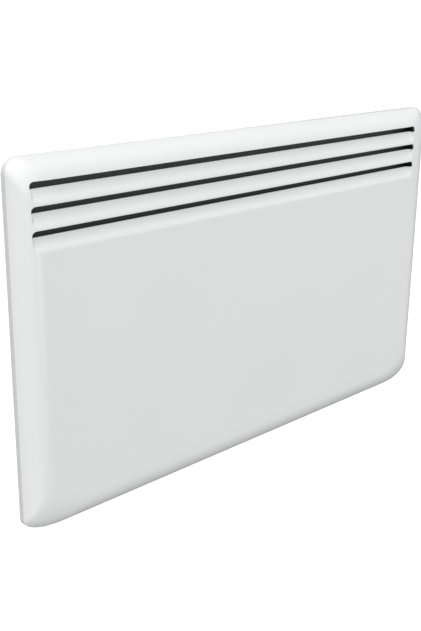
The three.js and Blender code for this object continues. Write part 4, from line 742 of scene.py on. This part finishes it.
copied("aluminised_shield", "heat_shield", "heater", aluminised())
profile = [
    (RIVET_HEAD[0], 1.0), (RIVET_HEAD[0] + 0.2, 1.9), (RIVET_HEAD[0] + 0.7, 2.7),
    (RIVET_HEAD[1] - 0.2, 3), (RIVET_HEAD[1], 2.9), (RIVET_HEAD[1], 1.5), (RIVET_TAIL[0], 1.5),
    (RIVET_TAIL[0], 2.8), (RIVET_TAIL[0] + 0.3, 3), (RIVET_TAIL[0] + 0.8, 2.6),
    (RIVET_TAIL[1], 1.6), (RIVET_TAIL[1] - 0.3, 1.1), (RIVET_TAIL[1] - 0.4, 0.4),
]
for i, place in enumerate(RIVETS):
    node = f"shield_rivet_{i + 1}"
    rivet = turned("y", place, profile, 28)
    shown(node + "_set", "heater", zinc_plating, rivet, node, 0, 40)

# The thermal cut-out ----------------------------
# A black phenolic disc thermostat with a nickel-plated blade on each side, held flat on the
# shield by a sprung strap.
CUTOUT_X, CUTOUT_Z, CUTOUT_FRONT, CUTOUT_BACK = 60, 20, -43.1, -37.1
BLADE_Y, BLADE_REACH = -40.1, 16


def black_moulding():
    phenolic = Finish("black_moulding", "black_plastic")
    flow = phenolic.grain(60, 3)
    return phenolic.set({
        "Base Color": flow.blend((0.016, 0.016, 0.017), (0.030, 0.030, 0.032)),
        "Roughness": 0.26 + 0.16 * phenolic.grain(500, 3),
        "Normal": phenolic.relief(phenolic.grain(1600, 2), 0.008),
    })


black_finish = black_moulding()
disc = [
    (CUTOUT_BACK, 7.6), (CUTOUT_BACK - 0.4, 8), (-40.2, 8), (-40.2, 7.3), (-42.6, 7.3),
    (CUTOUT_FRONT, 6.8), (CUTOUT_FRONT, 2.2), (CUTOUT_FRONT + 0.3, 1.9),
]
disc = turned("y", (CUTOUT_X, CUTOUT_Z), disc, 40)
shown("phenolic_disc", "heater", black_finish, disc, "thermal_cutout")
blades = []
for side in (-1, 1):
    flat, eye = blade(lambda reach: CUTOUT_X + side * reach, 7.5, BLADE_REACH, 12.5, BLADE_Y, CUTOUT_Z)
    blades.append(carved(flat, [("DIFFERENCE", eye)]))
shown("cutout_blades", "heater", nickel_finish, joined(blades), "thermal_cutout", 0.1)
copied("cutout_strap", "cutout_clip", "heater", nickel_finish)

# The control housing and its cover --------------
# An open-backed box moulded in white plastic, screwed to the rim's back at the right-hand end.
# Its cover closes the back on two screw posts, and marks printed round the dial's place show it.
BOX_X, BOX_Z = (243, 325), (-185, -35)
WALL, BOX_CORNER = 2.2, 4
POST_BORE = (-45.2, -33)
DIAL_Z, SWITCH_Z, LENS_Z, BULB_Z = -76, -115, -140, -175
SHAFT_HOLE, LENS_HOLE, SWITCH_HOLE_HALF = 3.3, 3.1, (6.8, 9.8)
GLAND_X, GLAND_HOLE = 268, 7
BULB_RESTS_X = (289, 309)
VENTS, VENTS_X, VENT_PITCH, VENT_HALF = 5, 299, 6, (1.5, 7)
COVER_FRONT, COVER_INSET = -33.2, 2.5
FIELD_INSET, FIELD_Z, FIELD_DEPTH = 16, (-168, -62), 0.5  # the shallow field in the cover's back
MARKS, MARK_STEP, MARK_RADII, MARK_HALVES = 13, 22.5, (11.3, 12.4), (0.32, 0.16)


def white_moulding():
    plastic = Finish("white_moulding", "white_plastic")
    cloud = plastic.grain(14, 2)
    spark = plastic.grain(1500, 2)
    return plastic.set({
        "Base Color": cloud.blend((0.76, 0.77, 0.75), (0.80, 0.81, 0.79)),
        "Roughness": 0.42 + 0.12 * spark,
        "Normal": plastic.relief(spark, 0.016),
    })


def dark_print():
    ink = Finish("dark_print")
    return ink.set({
        "Base Color": ink.grain(2600, 3).blend((0.03, 0.03, 0.035), (0.09, 0.09, 0.095)),
        "Roughness": 0.5 + 0.2 * ink.grain(1800, 2),
        "Normal": ink.relief(ink.grain(3200, 1), 0.003),
    })


def control_housing():
    inside_x, inside_z = (BOX_X[0] + WALL, BOX_X[1] - WALL), (BOX_Z[0] + WALL, BOX_Z[1] - WALL)
    floor_y = BOX_Y[0] + WALL
    hollow = rounded(inside_x, inside_z, BOX_CORNER - WALL)
    post = [(floor_y - 1, 4.3), (floor_y, 4.2), (-33.8, 4), (-33.5, 3.7)]
    posts = [turned("y", place, post) for place in COVER_SCREWS]
    posts += [prism("y", rounded((x - 1, x + 1), (BULB_Z - 3, BULB_Z + 3), 0.4, 4), (floor_y - 1, -47))
              for x in BULB_RESTS_X]
    right, left = (inside_x[1] - PAST, BOX_X[1] + PAST), (BOX_X[0] - PAST, inside_x[0] + PAST)
    low = (BOX_Z[0] - PAST, inside_z[0] + PAST)
    wide, tall = SWITCH_HOLE_HALF
    switch = rounded((CONTROL_Y - wide, CONTROL_Y + wide), (SWITCH_Z - tall, SWITCH_Z + tall), 0.4, 3)
    openings = [
        prism("x", circle((CONTROL_Y, DIAL_Z), SHAFT_HOLE, 32), right),
        prism("x", circle((CONTROL_Y, LENS_Z), LENS_HOLE, 32), right),
        prism("x", switch, right),
        prism("x", circle((CONTROL_Y, GROMMET_Z), GROMMET_HOLE, 40), left),
        prism("z", circle((GLAND_X, CONTROL_Y), GLAND_HOLE, 40), low),
    ]
    wide, tall = VENT_HALF
    for i in range(VENTS):
        x = VENTS_X + (i - VENTS // 2) * VENT_PITCH
        vent = rounded((x - wide, x + wide), (CONTROL_Y - tall, CONTROL_Y + tall), wide - 0.05)
        openings.append(prism("z", vent, low))
    openings += [hole(x, z, (BOX_Y[0] - PAST, floor_y + PAST)) for x, z in HOUSING_SCREWS]
    openings += [hole(x, z, POST_BORE) for x, z in COVER_SCREWS]
    return carved(prism("y", rounded(BOX_X, BOX_Z, BOX_CORNER, 10), BOX_Y), [
        ("DIFFERENCE", prism("y", hollow, (floor_y, BOX_Y[1] + PAST))),
        ("UNION", joined(posts)),
        ("DIFFERENCE", joined(openings)),
    ])


def control_cover():
    plate_x, plate_z = [(low + COVER_INSET, high - COVER_INSET) for low, high in (BOX_X, BOX_Z)]
    field = rounded((BOX_X[0] + FIELD_INSET, BOX_X[1] - FIELD_INSET), FIELD_Z, 2)
    holes = [hole(x, z, (COVER_FRONT - PAST, BOX_Y[1] + PAST)) for x, z in COVER_SCREWS]
    return carved(prism("y", rounded(plate_x, plate_z, 1.6), (COVER_FRONT, BOX_Y[1])), [
        ("DIFFERENCE", prism("y", field, (BOX_Y[1] - FIELD_DEPTH, BOX_Y[1] + PAST))),
        ("DIFFERENCE", joined(holes)),
    ])


def rotated(outline, centre, turn):
    """An outline drawn about its own middle, turned and moved to a centre."""
    cos, sin = math.cos(turn), math.sin(turn)
    return [(centre[0] + u * cos - v * sin, centre[1] + u * sin + v * cos) for u, v in outline]


def dial_marks():
    marks = []
    for i in range(MARKS):
        half = MARK_HALVES[0] if i % 4 == 0 else MARK_HALVES[1]
        turn = math.radians(MARK_STEP * i - 90)
        mark = rotated(oblong(MARK_RADII, (-half, half)), (CONTROL_Y, DIAL_Z), turn)
        marks.append(prism("x", mark, (BOX_X[1] - 0.02, BOX_X[1] + 0.05)))
    return joined(marks)


white_finish, print_finish = white_moulding(), dark_print()
housing, cover = control_housing(), control_cover()
shown("moulded_housing", "heater", white_finish, housing, "control_housing", 0.4)
shown("moulded_cover", "heater", white_finish, cover, "control_cover", 0.3)
shown("dial_marks", "heater", print_finish, dial_marks())

# The thermostat and its dial --------------------
# A grey glass-filled thermostat body with a nickel-plated shaft, flat on one side. The fluted
# white dial is pushed on the shaft, and a dark line on its raised pointer shows the setting.
DIAL_X, DIAL_RADIUS, FLUTES, FLUTE_DEPTH = (325.4, 334.4), 10.5, 18, 0.7
POINTER_Y, POINTER_Z = (CONTROL_Y - 1, CONTROL_Y + 1), (DIAL_Z - 9, DIAL_Z + 2)
SHAFT, SHAFT_FLAT = 3, 2.2


def grey_moulding():
    filled = Finish("grey_moulding", "grey_plastic")
    strand = filled.grain(700, 3, (0.25, 1, 0.6))
    return filled.set({
        "Base Color": strand.blend((0.22, 0.235, 0.245), (0.36, 0.38, 0.39)),
        "Roughness": 0.5 + 0.15 * filled.grain(90, 2),
        "Normal": filled.relief(strand, 0.02),
    })


def dial_form():
    points = FLUTES * 8
    rings = []
    for x, scale in ((0, 0.975), (0.4, 0.995), (1, 1), (6.6, 0.985), (7.3, 0.955), (7.8, 0.9), (8, 0.85)):
        ring = []
        for i in range(points):
            turn = 2 * math.pi * i / points
            flute = FLUTE_DEPTH * (0.5 - 0.5 * math.cos(FLUTES * turn)) ** 2
            radius = (DIAL_RADIUS - flute) * scale
            y, z = CONTROL_Y + radius * math.cos(turn), DIAL_Z + radius * math.sin(turn)
            ring.append((DIAL_X[0] + x, y, z))
        rings.append(ring)
    pointer = prism("x", rounded(POINTER_Y, POINTER_Z, 0.9), (DIAL_X[1] - 2, DIAL_X[1] - 0.1))
    bore = prism("x", circle((CONTROL_Y, DIAL_Z), SHAFT_HOLE, 32), (DIAL_X[0] - PAST, DIAL_X[1] - 3))
    return carved(loft(rings), [("UNION", pointer), ("DIFFERENCE", bore)])


grey_finish = grey_moulding()
copied("thermostat_case", "thermostat_body", "heater", grey_finish, 0.5)
shaft = [(312.3, SHAFT - 0.4), (312.7, SHAFT), (330.7, SHAFT), (331.1, SHAFT - 0.4)]
flat = prism("x", oblong((CONTROL_Y + SHAFT_FLAT, CONTROL_Y + 4), (DIAL_Z - 4, DIAL_Z + 4)), (323, 332))
shaft = carved(turned("x", (CONTROL_Y, DIAL_Z), shaft), [("DIFFERENCE", flat)])
shown("thermostat_shaft", "dial", nickel_finish, shaft, "dial_shaft")
shown("fluted_dial", "dial", white_finish, dial_form(), "thermostat_dial", 0.2, 40)
line = rounded((CONTROL_Y - 0.35, CONTROL_Y + 0.35), (POINTER_Z[0] + 0.6, POINTER_Z[1] - 1.4), 0.3, 4)
line = prism("x", line, (DIAL_X[1] - 0.15, DIAL_X[1] - 0.03))
shown("pointer_line", "dial", print_finish, line)

# The switch -------------------------------------
# A black rocker switch snapped into the housing's wall. The rocker's face is hollowed for the
# finger and printed in white with a bar for on and a ring for off.
PIVOT_X, REST_TILT, ROCKER_HALF, ROCKER_LONG = 322.5, math.radians(8), 5.2, 7.4
MARK_PLACE, RING_RADII, BAR_HALF, BAR_LENGTH = 4.4, (0.95, 1.3), 0.2, 2.6
PRINT_DEPTH, PRINT_LIFT = -0.1, 0.05


def white_print():
    ink = Finish("white_print")
    return ink.set({
        "Base Color": ink.grain(2200, 3).blend((0.68, 0.68, 0.66), (0.82, 0.82, 0.80)),
        "Roughness": 0.45 + 0.2 * ink.grain(1700, 2),
    })


def hollow_face(v, lift=0):
    return 4.8 + 1.4 * (v / ROCKER_LONG) ** 2 + lift


def tipped(side_view):
    """A side view of the rocker, drawn about its pivot, tipped to its rest."""
    return rotated(side_view, (PIVOT_X, SWITCH_Z), -REST_TILT)


def rocker_form():
    face = [(hollow_face(v), v) for v in [ROCKER_LONG * (i / 10 - 1) for i in range(21)]]
    side = [(-3, -3), (2, -ROCKER_LONG), *face, (2, ROCKER_LONG), (-3, 3)]
    return prism("y", tipped(side), (CONTROL_Y - ROCKER_HALF, CONTROL_Y + ROCKER_HALF))


def rocker_marks():
    places = [MARK_PLACE + BAR_LENGTH * (i / 6 - 0.5) for i in range(7)]
    bar = [(hollow_face(v, PRINT_DEPTH), v) for v in places]
    bar += [(hollow_face(v, PRINT_LIFT), v) for v in reversed(places)]
    bar = prism("y", tipped(bar), (CONTROL_Y - BAR_HALF, CONTROL_Y + BAR_HALF))
    inner, outer = RING_RADII
    section = ((inner, PRINT_DEPTH), (inner, PRINT_LIFT), (outer, PRINT_LIFT), (outer, PRINT_DEPTH))
    rings = []
    for turn in [math.radians(10 * i) for i in range(36)]:
        heights = [(radius * math.sin(turn) - MARK_PLACE, lift) for radius, lift in section]
        side_view = tipped([(hollow_face(v, lift), v) for v, lift in heights])
        depths = [CONTROL_Y + radius * math.cos(turn) for radius, lift in section]
        rings.append([(x, y, z) for (x, z), y in zip(side_view, depths)])
    return joined([bar, loft(rings, closed=True)])


copied("switch_bezel", "switch_frame", "heater", black_finish, 0.35)
shown("rocker", "rocker", black_finish, rocker_form(), "switch_rocker", 0.35)
shown("rocker_marks", "rocker", white_print(), rocker_marks())

# The indicator ----------------------------------
# A clear amber lens with a domed end and a flange, pushed into the housing's wall, and a small
# glass neon lamp in its bore.
LENS, DOME_FOOT, DOME_RISE, CLEARNESS = 2.8, 326.35, 1.85, 0.85

def clear(name, slot, dark, light, rough):
    glass = Finish(name, slot)
    streak = glass.grain(240, 2, (0.3, 1, 1))
    return glass.set({
        "Base Color": streak.blend(dark, light),
        "Roughness": rough + 0.06 * glass.grain(700, 2),
        "Transmission Weight": CLEARNESS,
        "IOR": 1.49,
        "Normal": glass.relief(streak, 0.01),
    })


lens = [
    (313, LENS - 0.2), (313.2, LENS), (325.3, LENS), (325.3, 3.7), (325.5, 3.9), (326.1, 3.9),
    (326.3, 3.7), (DOME_FOOT, LENS),
]
for turn in [math.radians(12 * i) for i in range(1, 8)]:
    lens.append((DOME_FOOT + DOME_RISE * math.sin(turn), LENS * math.cos(turn)))
bore = turned("x", (CONTROL_Y, LENS_Z), [(312, 2.1), (322.5, 2.1), (323, 1.5)])
lens = carved(turned("x", (CONTROL_Y, LENS_Z), lens, 36), [("DIFFERENCE", bore)])
amber = clear("amber_moulding", "amber_lens", (0.85, 0.26, 0.02), (0.95, 0.36, 0.05), 0.08)
shown("amber_lens_moulding", "heater", amber, lens, "indicator_lens")
lamp = [
    (310, 0.5), (310.3, 1.2), (311, 1.7), (311.6, 1.8), (320.6, 1.8), (321.8, 1.5), (322.5, 0.8),
    (322.7, 0.3),
]
lamp = turned("x", (CONTROL_Y, LENS_Z), lamp, 28)
lamp_glass = clear("lamp_glass", "lamp_glass", (0.85, 0.86, 0.84), (0.95, 0.95, 0.93), 0.03)
shown("neon_lamp", "heater", lamp_glass, lamp, "indicator_lamp")

# The terminal block -----------------------------
# A grey three-pole block on the housing's floor, where the supply cable is joined to the leads
# inside. Slotted clamping screws sit in its wells.
POLES_X, WELLS_Z = (262.33, 275, 287.67), (-155.5, -146.5)
CLAMP, CLAMP_TURN = 2.1, 0.7

copied("three_pole_block", "terminal_block", "heater", grey_finish, 0.35)
clamps = []
for count, place in enumerate([(x, z) for x in POLES_X for z in WELLS_Z]):
    slot = rotated(oblong((-1.9, 1.9), (-0.3, 0.3)), place, CLAMP_TURN * count)
    head = turned("y", place, [(-47.8, CLAMP), (-46.3, CLAMP), (-45.9, CLAMP - 0.4)], 24)
    clamps.append(carved(head, [("DIFFERENCE", prism("y", slot, (-46.6, -45)))]))
shown("clamping_screws", "heater", nickel_finish, joined(clamps), None, 0.08)

# The cable gland and the lead grommet -----------
# Two soft black rubber rings. One lets the supply cable in through the housing's lower wall, the
# other takes the leads from the housing into the tray.


def soft_rubber():
    rubber = Finish("soft_rubber", "black_rubber")
    bloom = rubber.grain(180, 4)
    return rubber.set({
        "Base Color": bloom.blend((0.014, 0.014, 0.014), (0.036, 0.035, 0.034)),
        "Roughness": 0.68 + 0.2 * bloom,
        "Normal": rubber.relief(rubber.grain(1400, 3), 0.02),
    })


rubber_finish = soft_rubber()
gland = [
    (-187.7, 8.4), (-187.3, 9.2), (-186.8, 9.5), (-185.7, 9.5), (-185.3, 9.1), (-185.3, 6.7),
    (-182.5, 6.7), (-182.5, 8.1), (-182.2, 8.5), (-181.3, 8.1), (-180.5, 7.0), (-180.5, 4.3),
    (-180.9, 3.6), (-183.5, 3.6), (-184, 3.9), (-184.5, 3.6), (-187.2, 3.6), (-187.7, 4.2),
]
gland = turned("z", (GLAND_X, CONTROL_Y), gland, 44, True)
shown("rubber_cable_gland", "heater", rubber_finish, gland, "cable_gland", 0, 50)
grommet = [
    (239.2, 8.3), (239.6, 8.9), (240.2, 9), (240.9, 9), (241.2, 8.6), (241.2, 6.7), (246.6, 6.7),
    (247.2, 6.2), (247.2, 5.5), (246.8, 5), (239.7, 5), (239.2, 5.5),
]
grommet = turned("x", (CONTROL_Y, GROMMET_Z), grommet, 44, True)
shown("rubber_lead_grommet", "heater", rubber_finish, grommet, "lead_grommet", 0, 50)

# The sensing bulb -------------------------------
# A liquid-filled copper bulb over the housing's vents, with a fine capillary tube bent up to the
# thermostat.
CAPILLARY = (
    (283, -44.2, -175), (280, -43.7, -174.4), (279.5, -40.2, -171), (290, -38.2, -163),
    (298, -37.2, -152), (299, -36.2, -123), (299, -36.2, -107), (304, -38.2, -94), (305, -39.2, -88.3),
)
BULB, CAPILLARY_RADIUS = 2.5, 0.9
TIP_LENGTH, TIP_WIDTH = 0.3, 0.72  # of the rounding at a tube's ends, as shares of its radius


def drawn_copper():
    copper = Finish("drawn_copper", "copper")
    tarnish = copper.grain(120, 4)
    return copper.set({
        "Base Color": tarnish.blend((0.62, 0.31, 0.17), (0.42, 0.20, 0.11)),
        "Metallic": 1.0,
        "Roughness": 0.24 + 0.22 * tarnish,
        "Normal": copper.relief(copper.grain(1300, 2, (0.3, 1, 1)), 0.006),
    })


def smooth_path(points, steps):
    """Places along a centripetal curve through points, each span cut by its length."""
    points = [Vector(p) for p in points]
    points = [2 * points[0] - points[1], *points, 2 * points[-1] - points[-2]]
    whole = sum((b - a).length for a, b in zip(points[1:], points[2:-1]))
    path = []
    for a, b, c, d in zip(points, points[1:], points[2:], points[3:]):
        t1 = (b - a).length ** 0.5
        t2 = t1 + (c - b).length ** 0.5
        t3 = t2 + (d - c).length ** 0.5
        cuts = max(2, round(steps * (c - b).length / whole))
        for i in range(cuts):
            t = t1 + (t2 - t1) * i / cuts
            ab = a * ((t1 - t) / t1) + b * (t / t1)
            bc = b * ((t2 - t) / (t2 - t1)) + c * ((t - t1) / (t2 - t1))
            cd = c * ((t3 - t) / (t3 - t2)) + d * ((t - t2) / (t3 - t2))
            abc = ab * ((t2 - t) / t2) + bc * (t / t2)
            bcd = bc * ((t3 - t) / (t3 - t1)) + cd * ((t - t1) / (t3 - t1))
            path.append(abc * ((t2 - t) / (t2 - t1)) + bcd * ((t - t1) / (t2 - t1)))
    return path + [points[-2]]


def swept(points, radius, steps, sides):
    """A round tube along a smooth curve through points, its ends slightly rounded."""
    path = smooth_path(points, steps)
    first, last = path[0], path[-1]
    path = [first, first + (path[1] - first).normalized() * radius * TIP_LENGTH, *path[1:-1],
            last + (path[-2] - last).normalized() * radius * TIP_LENGTH, last]
    turns = [2 * math.pi * k / sides for k in range(sides)]
    side = Vector((0.13, 0.97, 0.21))  # any way across the start, then carried along the tube
    rings = []
    for i, place in enumerate(path):
        heading = (path[min(i + 1, len(path) - 1)] - path[max(i - 1, 0)]).normalized()
        side = (side - heading * side.dot(heading)).normalized()
        other = heading.cross(side)
        wide = radius * (TIP_WIDTH if i in (0, len(path) - 1) else 1)
        rings.append([place + (side * math.cos(t) + other * math.sin(t)) * wide for t in turns])
    return loft(rings)


bulb = [
    (282, 1.1), (282.5, 2), (283.4, BULB), (312.8, BULB), (313.2, 2.2), (315.2, 2.0), (316, 0.9),
]
bulb = turned("x", (CONTROL_Y, BULB_Z), bulb, 28)
bulb = joined([bulb, swept(CAPILLARY, CAPILLARY_RADIUS, 90, 12)])
shown("copper_bulb", "heater", drawn_copper(), bulb, "capillary_bulb", 0, 40)

# The leads --------------------------------------
# Stranded wires in silicone rubber: brown for the live run, blue for the neutral and green with
# yellow for the earth. They run from the block to the switch, thermostat, cut-out and element.
LEAD_RADIUS, LEAD_SIDES, STRIPE_SIDES = 1.2, 14, 5
BROWN_LEADS = {
    "lead_supply": (
        (287.67, -48.4, -141.7), (287.67, -48.4, -134.7), (290.67, -46.3, -124), (296, -44.2, -119.5),
        (302.7, -44.2, -119)),
    "lead_switched": (
        (302.7, -44.2, -110), (296, -44.2, -109), (288, -44.2, -99.5), (290, -44.2, -85),
        (295.7, -44.2, -84)),
    "lead_heat": (
        (295.7, -44.2, -70), (286, -44.2, -68), (249.2, -44.2, -47.3), (237.5, -44.2, -47.3),
        (202.5, -44.2, -38), (151.25, -44.2, 0), (90, -40.6, 20), (76.3, -40.1, 20)),
    "lead_bridge": (
        (43.7, -40.1, 20), (24, -40.1, 20), (-121.4, -41.1, 10), (-274.5, -42.1, -27), (-299.8, -51, -54),
        (-302.8, -55, -76), (-302.8, -55, -91.55)),
}
NEUTRAL = (
    (275, -48.4, -141.7), (275, -48.4, -121.7), (262.2, -48.4, -76), (249.2, -46.54, -51.35),
    (237.5, -46.54, -51.35), (231.8, -49.2, -60), (229.8, -55, -74), (229.8, -55, -91.55),
)
EARTH = (
    (262.33, -48.4, -141.7), (262.33, -48.4, -127.7), (254.2, -41.2, -86), (253.2, -40.7, -66),
    (249.2, -41.86, -51.35), (237.5, -41.86, -51.35), (229.5, -39.2, -38), (225.3, -33, -14),
    (219.3, -32.8, -10),
)


def silicone(name, slot, first, second, striped=False):
    """Clouded between two colours, or the first with a band of the second where the stripe value
    stored on the mesh is 1."""
    rubber = Finish(name, slot)
    mask = rubber.grain(260, 3)
    if striped:
        stripe = rubber.place.node("Attribute", {"attribute_name": "stripe"}, out="Fac")
        mask = (stripe * (0.85 + 0.15 * mask)).between(0.40, 0.46)
    return rubber.set({
        "Base Color": mask.blend(first, second),
        "Roughness": 0.46 + 0.16 * rubber.grain(600, 2),
        "Normal": rubber.relief(rubber.grain(1500, 2), 0.01),
    })


def lead(node, finish, points):
    mesh = swept(points, LEAD_RADIUS, 120, LEAD_SIDES)
    return shown(node + "_insulated", "heater", finish, mesh, node, 0, 50)


brown = silicone("brown_silicone", "brown_lead", (0.085, 0.036, 0.018), (0.13, 0.058, 0.028))
for node, points in BROWN_LEADS.items():
    lead(node, brown, points)
blue = silicone("blue_silicone", "blue_lead", (0.022, 0.10, 0.30), (0.035, 0.14, 0.40))
lead("lead_neutral", blue, NEUTRAL)
green, yellow = (0.035, 0.20, 0.045), (0.66, 0.55, 0.03)
earth = lead("lead_earth", silicone("earth_silicone", "earth_lead", green, yellow, True), EARTH)
stripe = earth.data.attributes.new("stripe", "FLOAT", "POINT")
for i, point in enumerate(stripe.data):
    point.value = float(i % LEAD_SIDES < STRIPE_SIDES)

# The wall bracket -------------------------------
# Two uprights and three rails of 2 mm zinc-plated steel, screwed to the wall through slots. Its
# hooks carry the heater on black nylon saddles.
copied("folded_wall_bracket", "wall_bracket", "bracket", zinc_plating, 0.5)
for side in ("left", "right"):
    copied(f"nylon_saddle_{side}", f"hook_liner_{side}", "bracket", black_finish, 0.3, 30)

# The latches ------------------------------------
# A white plastic lever on each upright, moulded with a cross bar that a quarter turn locks in
# the casing's slot. A toothed steel clip holds its pivot.
LEVER_Y, GRIP_HEIGHT, GRIP = (-29.3, -26.3), 9, 4
LEVER_REACH, LEVER_HALF, HUB, PIVOT, NECK = 84, 4.5, 6.5, 4, 3.5
BAR_Y, BAR_LONG, BAR_WIDE = (-34.8, -31.8), 10, 3.5
TEETH, SLIT, SLIT_HALF = 6, (4, 5.9), 0.35


def latch_form(side):
    x = side * LATCH_X
    end = x + side * LEVER_REACH
    lever_z = (LATCH_Z - LEVER_HALF, LATCH_Z + LEVER_HALF)
    arm = rounded(sorted((x, end)), lever_z, 1.5)
    grip = rounded(sorted((end - side * GRIP, end)), lever_z, 1.4)
    bar = rounded((x - BAR_LONG, x + BAR_LONG), (LATCH_Z - BAR_WIDE, LATCH_Z + BAR_WIDE), 1.2)
    groove = rounded(sorted((x + side * 8, end - side * 6)), (LATCH_Z - 1.2, LATCH_Z + 1.2), 1.1, 5)
    pivot = [(LEVER_Y[1] - PAST, PIVOT), (-21.3, PIVOT), (-20.8, PIVOT - 0.6)]
    return carved(turned("y", (x, LATCH_Z), [(LEVER_Y[0], HUB), (LEVER_Y[1], HUB)], 44), [
        ("UNION", prism("y", arm, LEVER_Y)),
        ("UNION", prism("y", grip, (LEVER_Y[0], LEVER_Y[1] + GRIP_HEIGHT))),
        ("UNION", turned("y", (x, LATCH_Z), [(BAR_Y[0] + 1, NECK), (LEVER_Y[0] + 1, NECK)])),
        ("UNION", prism("y", bar, BAR_Y)),
        ("UNION", turned("y", (x, LATCH_Z), pivot)),
        ("DIFFERENCE", prism("y", groove, (LEVER_Y[1] - 0.8, LEVER_Y[1] + PAST))),
    ])


def clip_form(side):
    place = (side * LATCH_X, LATCH_Z)
    profile = [
        (-23.7, 7.8), (-23.5, 8), (-23.25, 8), (-23.1, 7.8), (-22.5, 5.5), (-22.5, 4.5), (-22.7, 4.3),
        (-23.2, 4.3), (-23.7, 5.6),
    ]
    slits = []
    for i in range(TEETH):
        slit = rotated(oblong(SLIT, (-SLIT_HALF, SLIT_HALF)), place, 2 * math.pi * (i + 0.5) / TEETH)
        slits.append(prism("y", slit, (-24, -22)))
    return carved(turned("y", place, profile, 48, True), [("DIFFERENCE", joined(slits))])


for side, word in ((-1, "left"), (1, "right")):
    body = f"latch_{word}"
    shown(f"latch_lever_{word}", body, white_finish, latch_form(side), body, 0.4)
    clip = f"latch_clip_{word}"
    shown(f"toothed_clip_{word}", body, zinc_plating, clip_form(side), clip, 0, 40)

# The studio -------------------------------------
# A pale floor well below the heater and soft light: a broad key from the left of the front, light
# from the upper left and overhead, weak fills from the other sides and a dim even surround.
FLOOR_DROP, FLOOR_SIZE, FLOOR_GLOW = 0.75, 60, 0.35
SURROUND = 0.07
LIGHT_SPREAD = math.radians(60)
LIGHTS = {  # the direction that each light comes from, and its strength
    "key": ((-0.26, -0.90, 0.35), 0.60),
    "upper_left": ((-0.63, -0.05, 0.77), 0.55),
    "overhead": ((0, -0.15, 1), 0.20),
    "left": ((-1, -0.1, 0.05), 0.15),
    "right": ((0.75, -0.65, 0.1), 0.19),
    "low": ((0, -0.15, -1), 0.15),
    "behind": ((0.35, 1.0, 0.12), 0.30),
}

floor_form = bmesh.new()
bmesh.ops.create_grid(floor_form, x_segments=1, y_segments=1, size=FLOOR_SIZE)
floor = bpy.data.objects.new("floor", mesh_from(floor_form, "floor"))
floor.location = (0, 0, -FLOOR_DROP)
floor_finish = Finish("pale_floor").set({
    "Base Color": (0.9, 0.9, 0.9),
    "Roughness": 0.9,
    "Emission Color": (1, 1, 1),
    "Emission Strength": FLOOR_GLOW,
})
floor.data.materials.append(floor_finish.material)
bpy.context.scene.collection.objects.link(floor)
floor.visible_diffuse = False
floor.visible_glossy = False
floor.visible_shadow = False

world = bpy.data.worlds.new("surround")
world.use_nodes = True
bpy.context.scene.world = world
seen = Socket(world.node_tree).node("LightPath", out="Is Camera Ray")
background = world.node_tree.nodes["Background"]
world.node_tree.links.new((SURROUND + seen * (1 - SURROUND)).output, background.inputs["Strength"])
background.inputs["Color"].default_value = (1, 1, 1, 1)

for name, (towards, strength) in LIGHTS.items():
    light = bpy.data.lights.new(name, "SUN")
    light.energy, light.angle = strength * math.pi, LIGHT_SPREAD
    source = bpy.data.objects.new(name, light)
    source.rotation_mode = "QUATERNION"
    source.rotation_quaternion = Vector(towards).to_track_quat("Z", "Y")
    bpy.context.scene.collection.objects.link(source)

bpy.context.scene.view_settings.view_transform = "Standard"
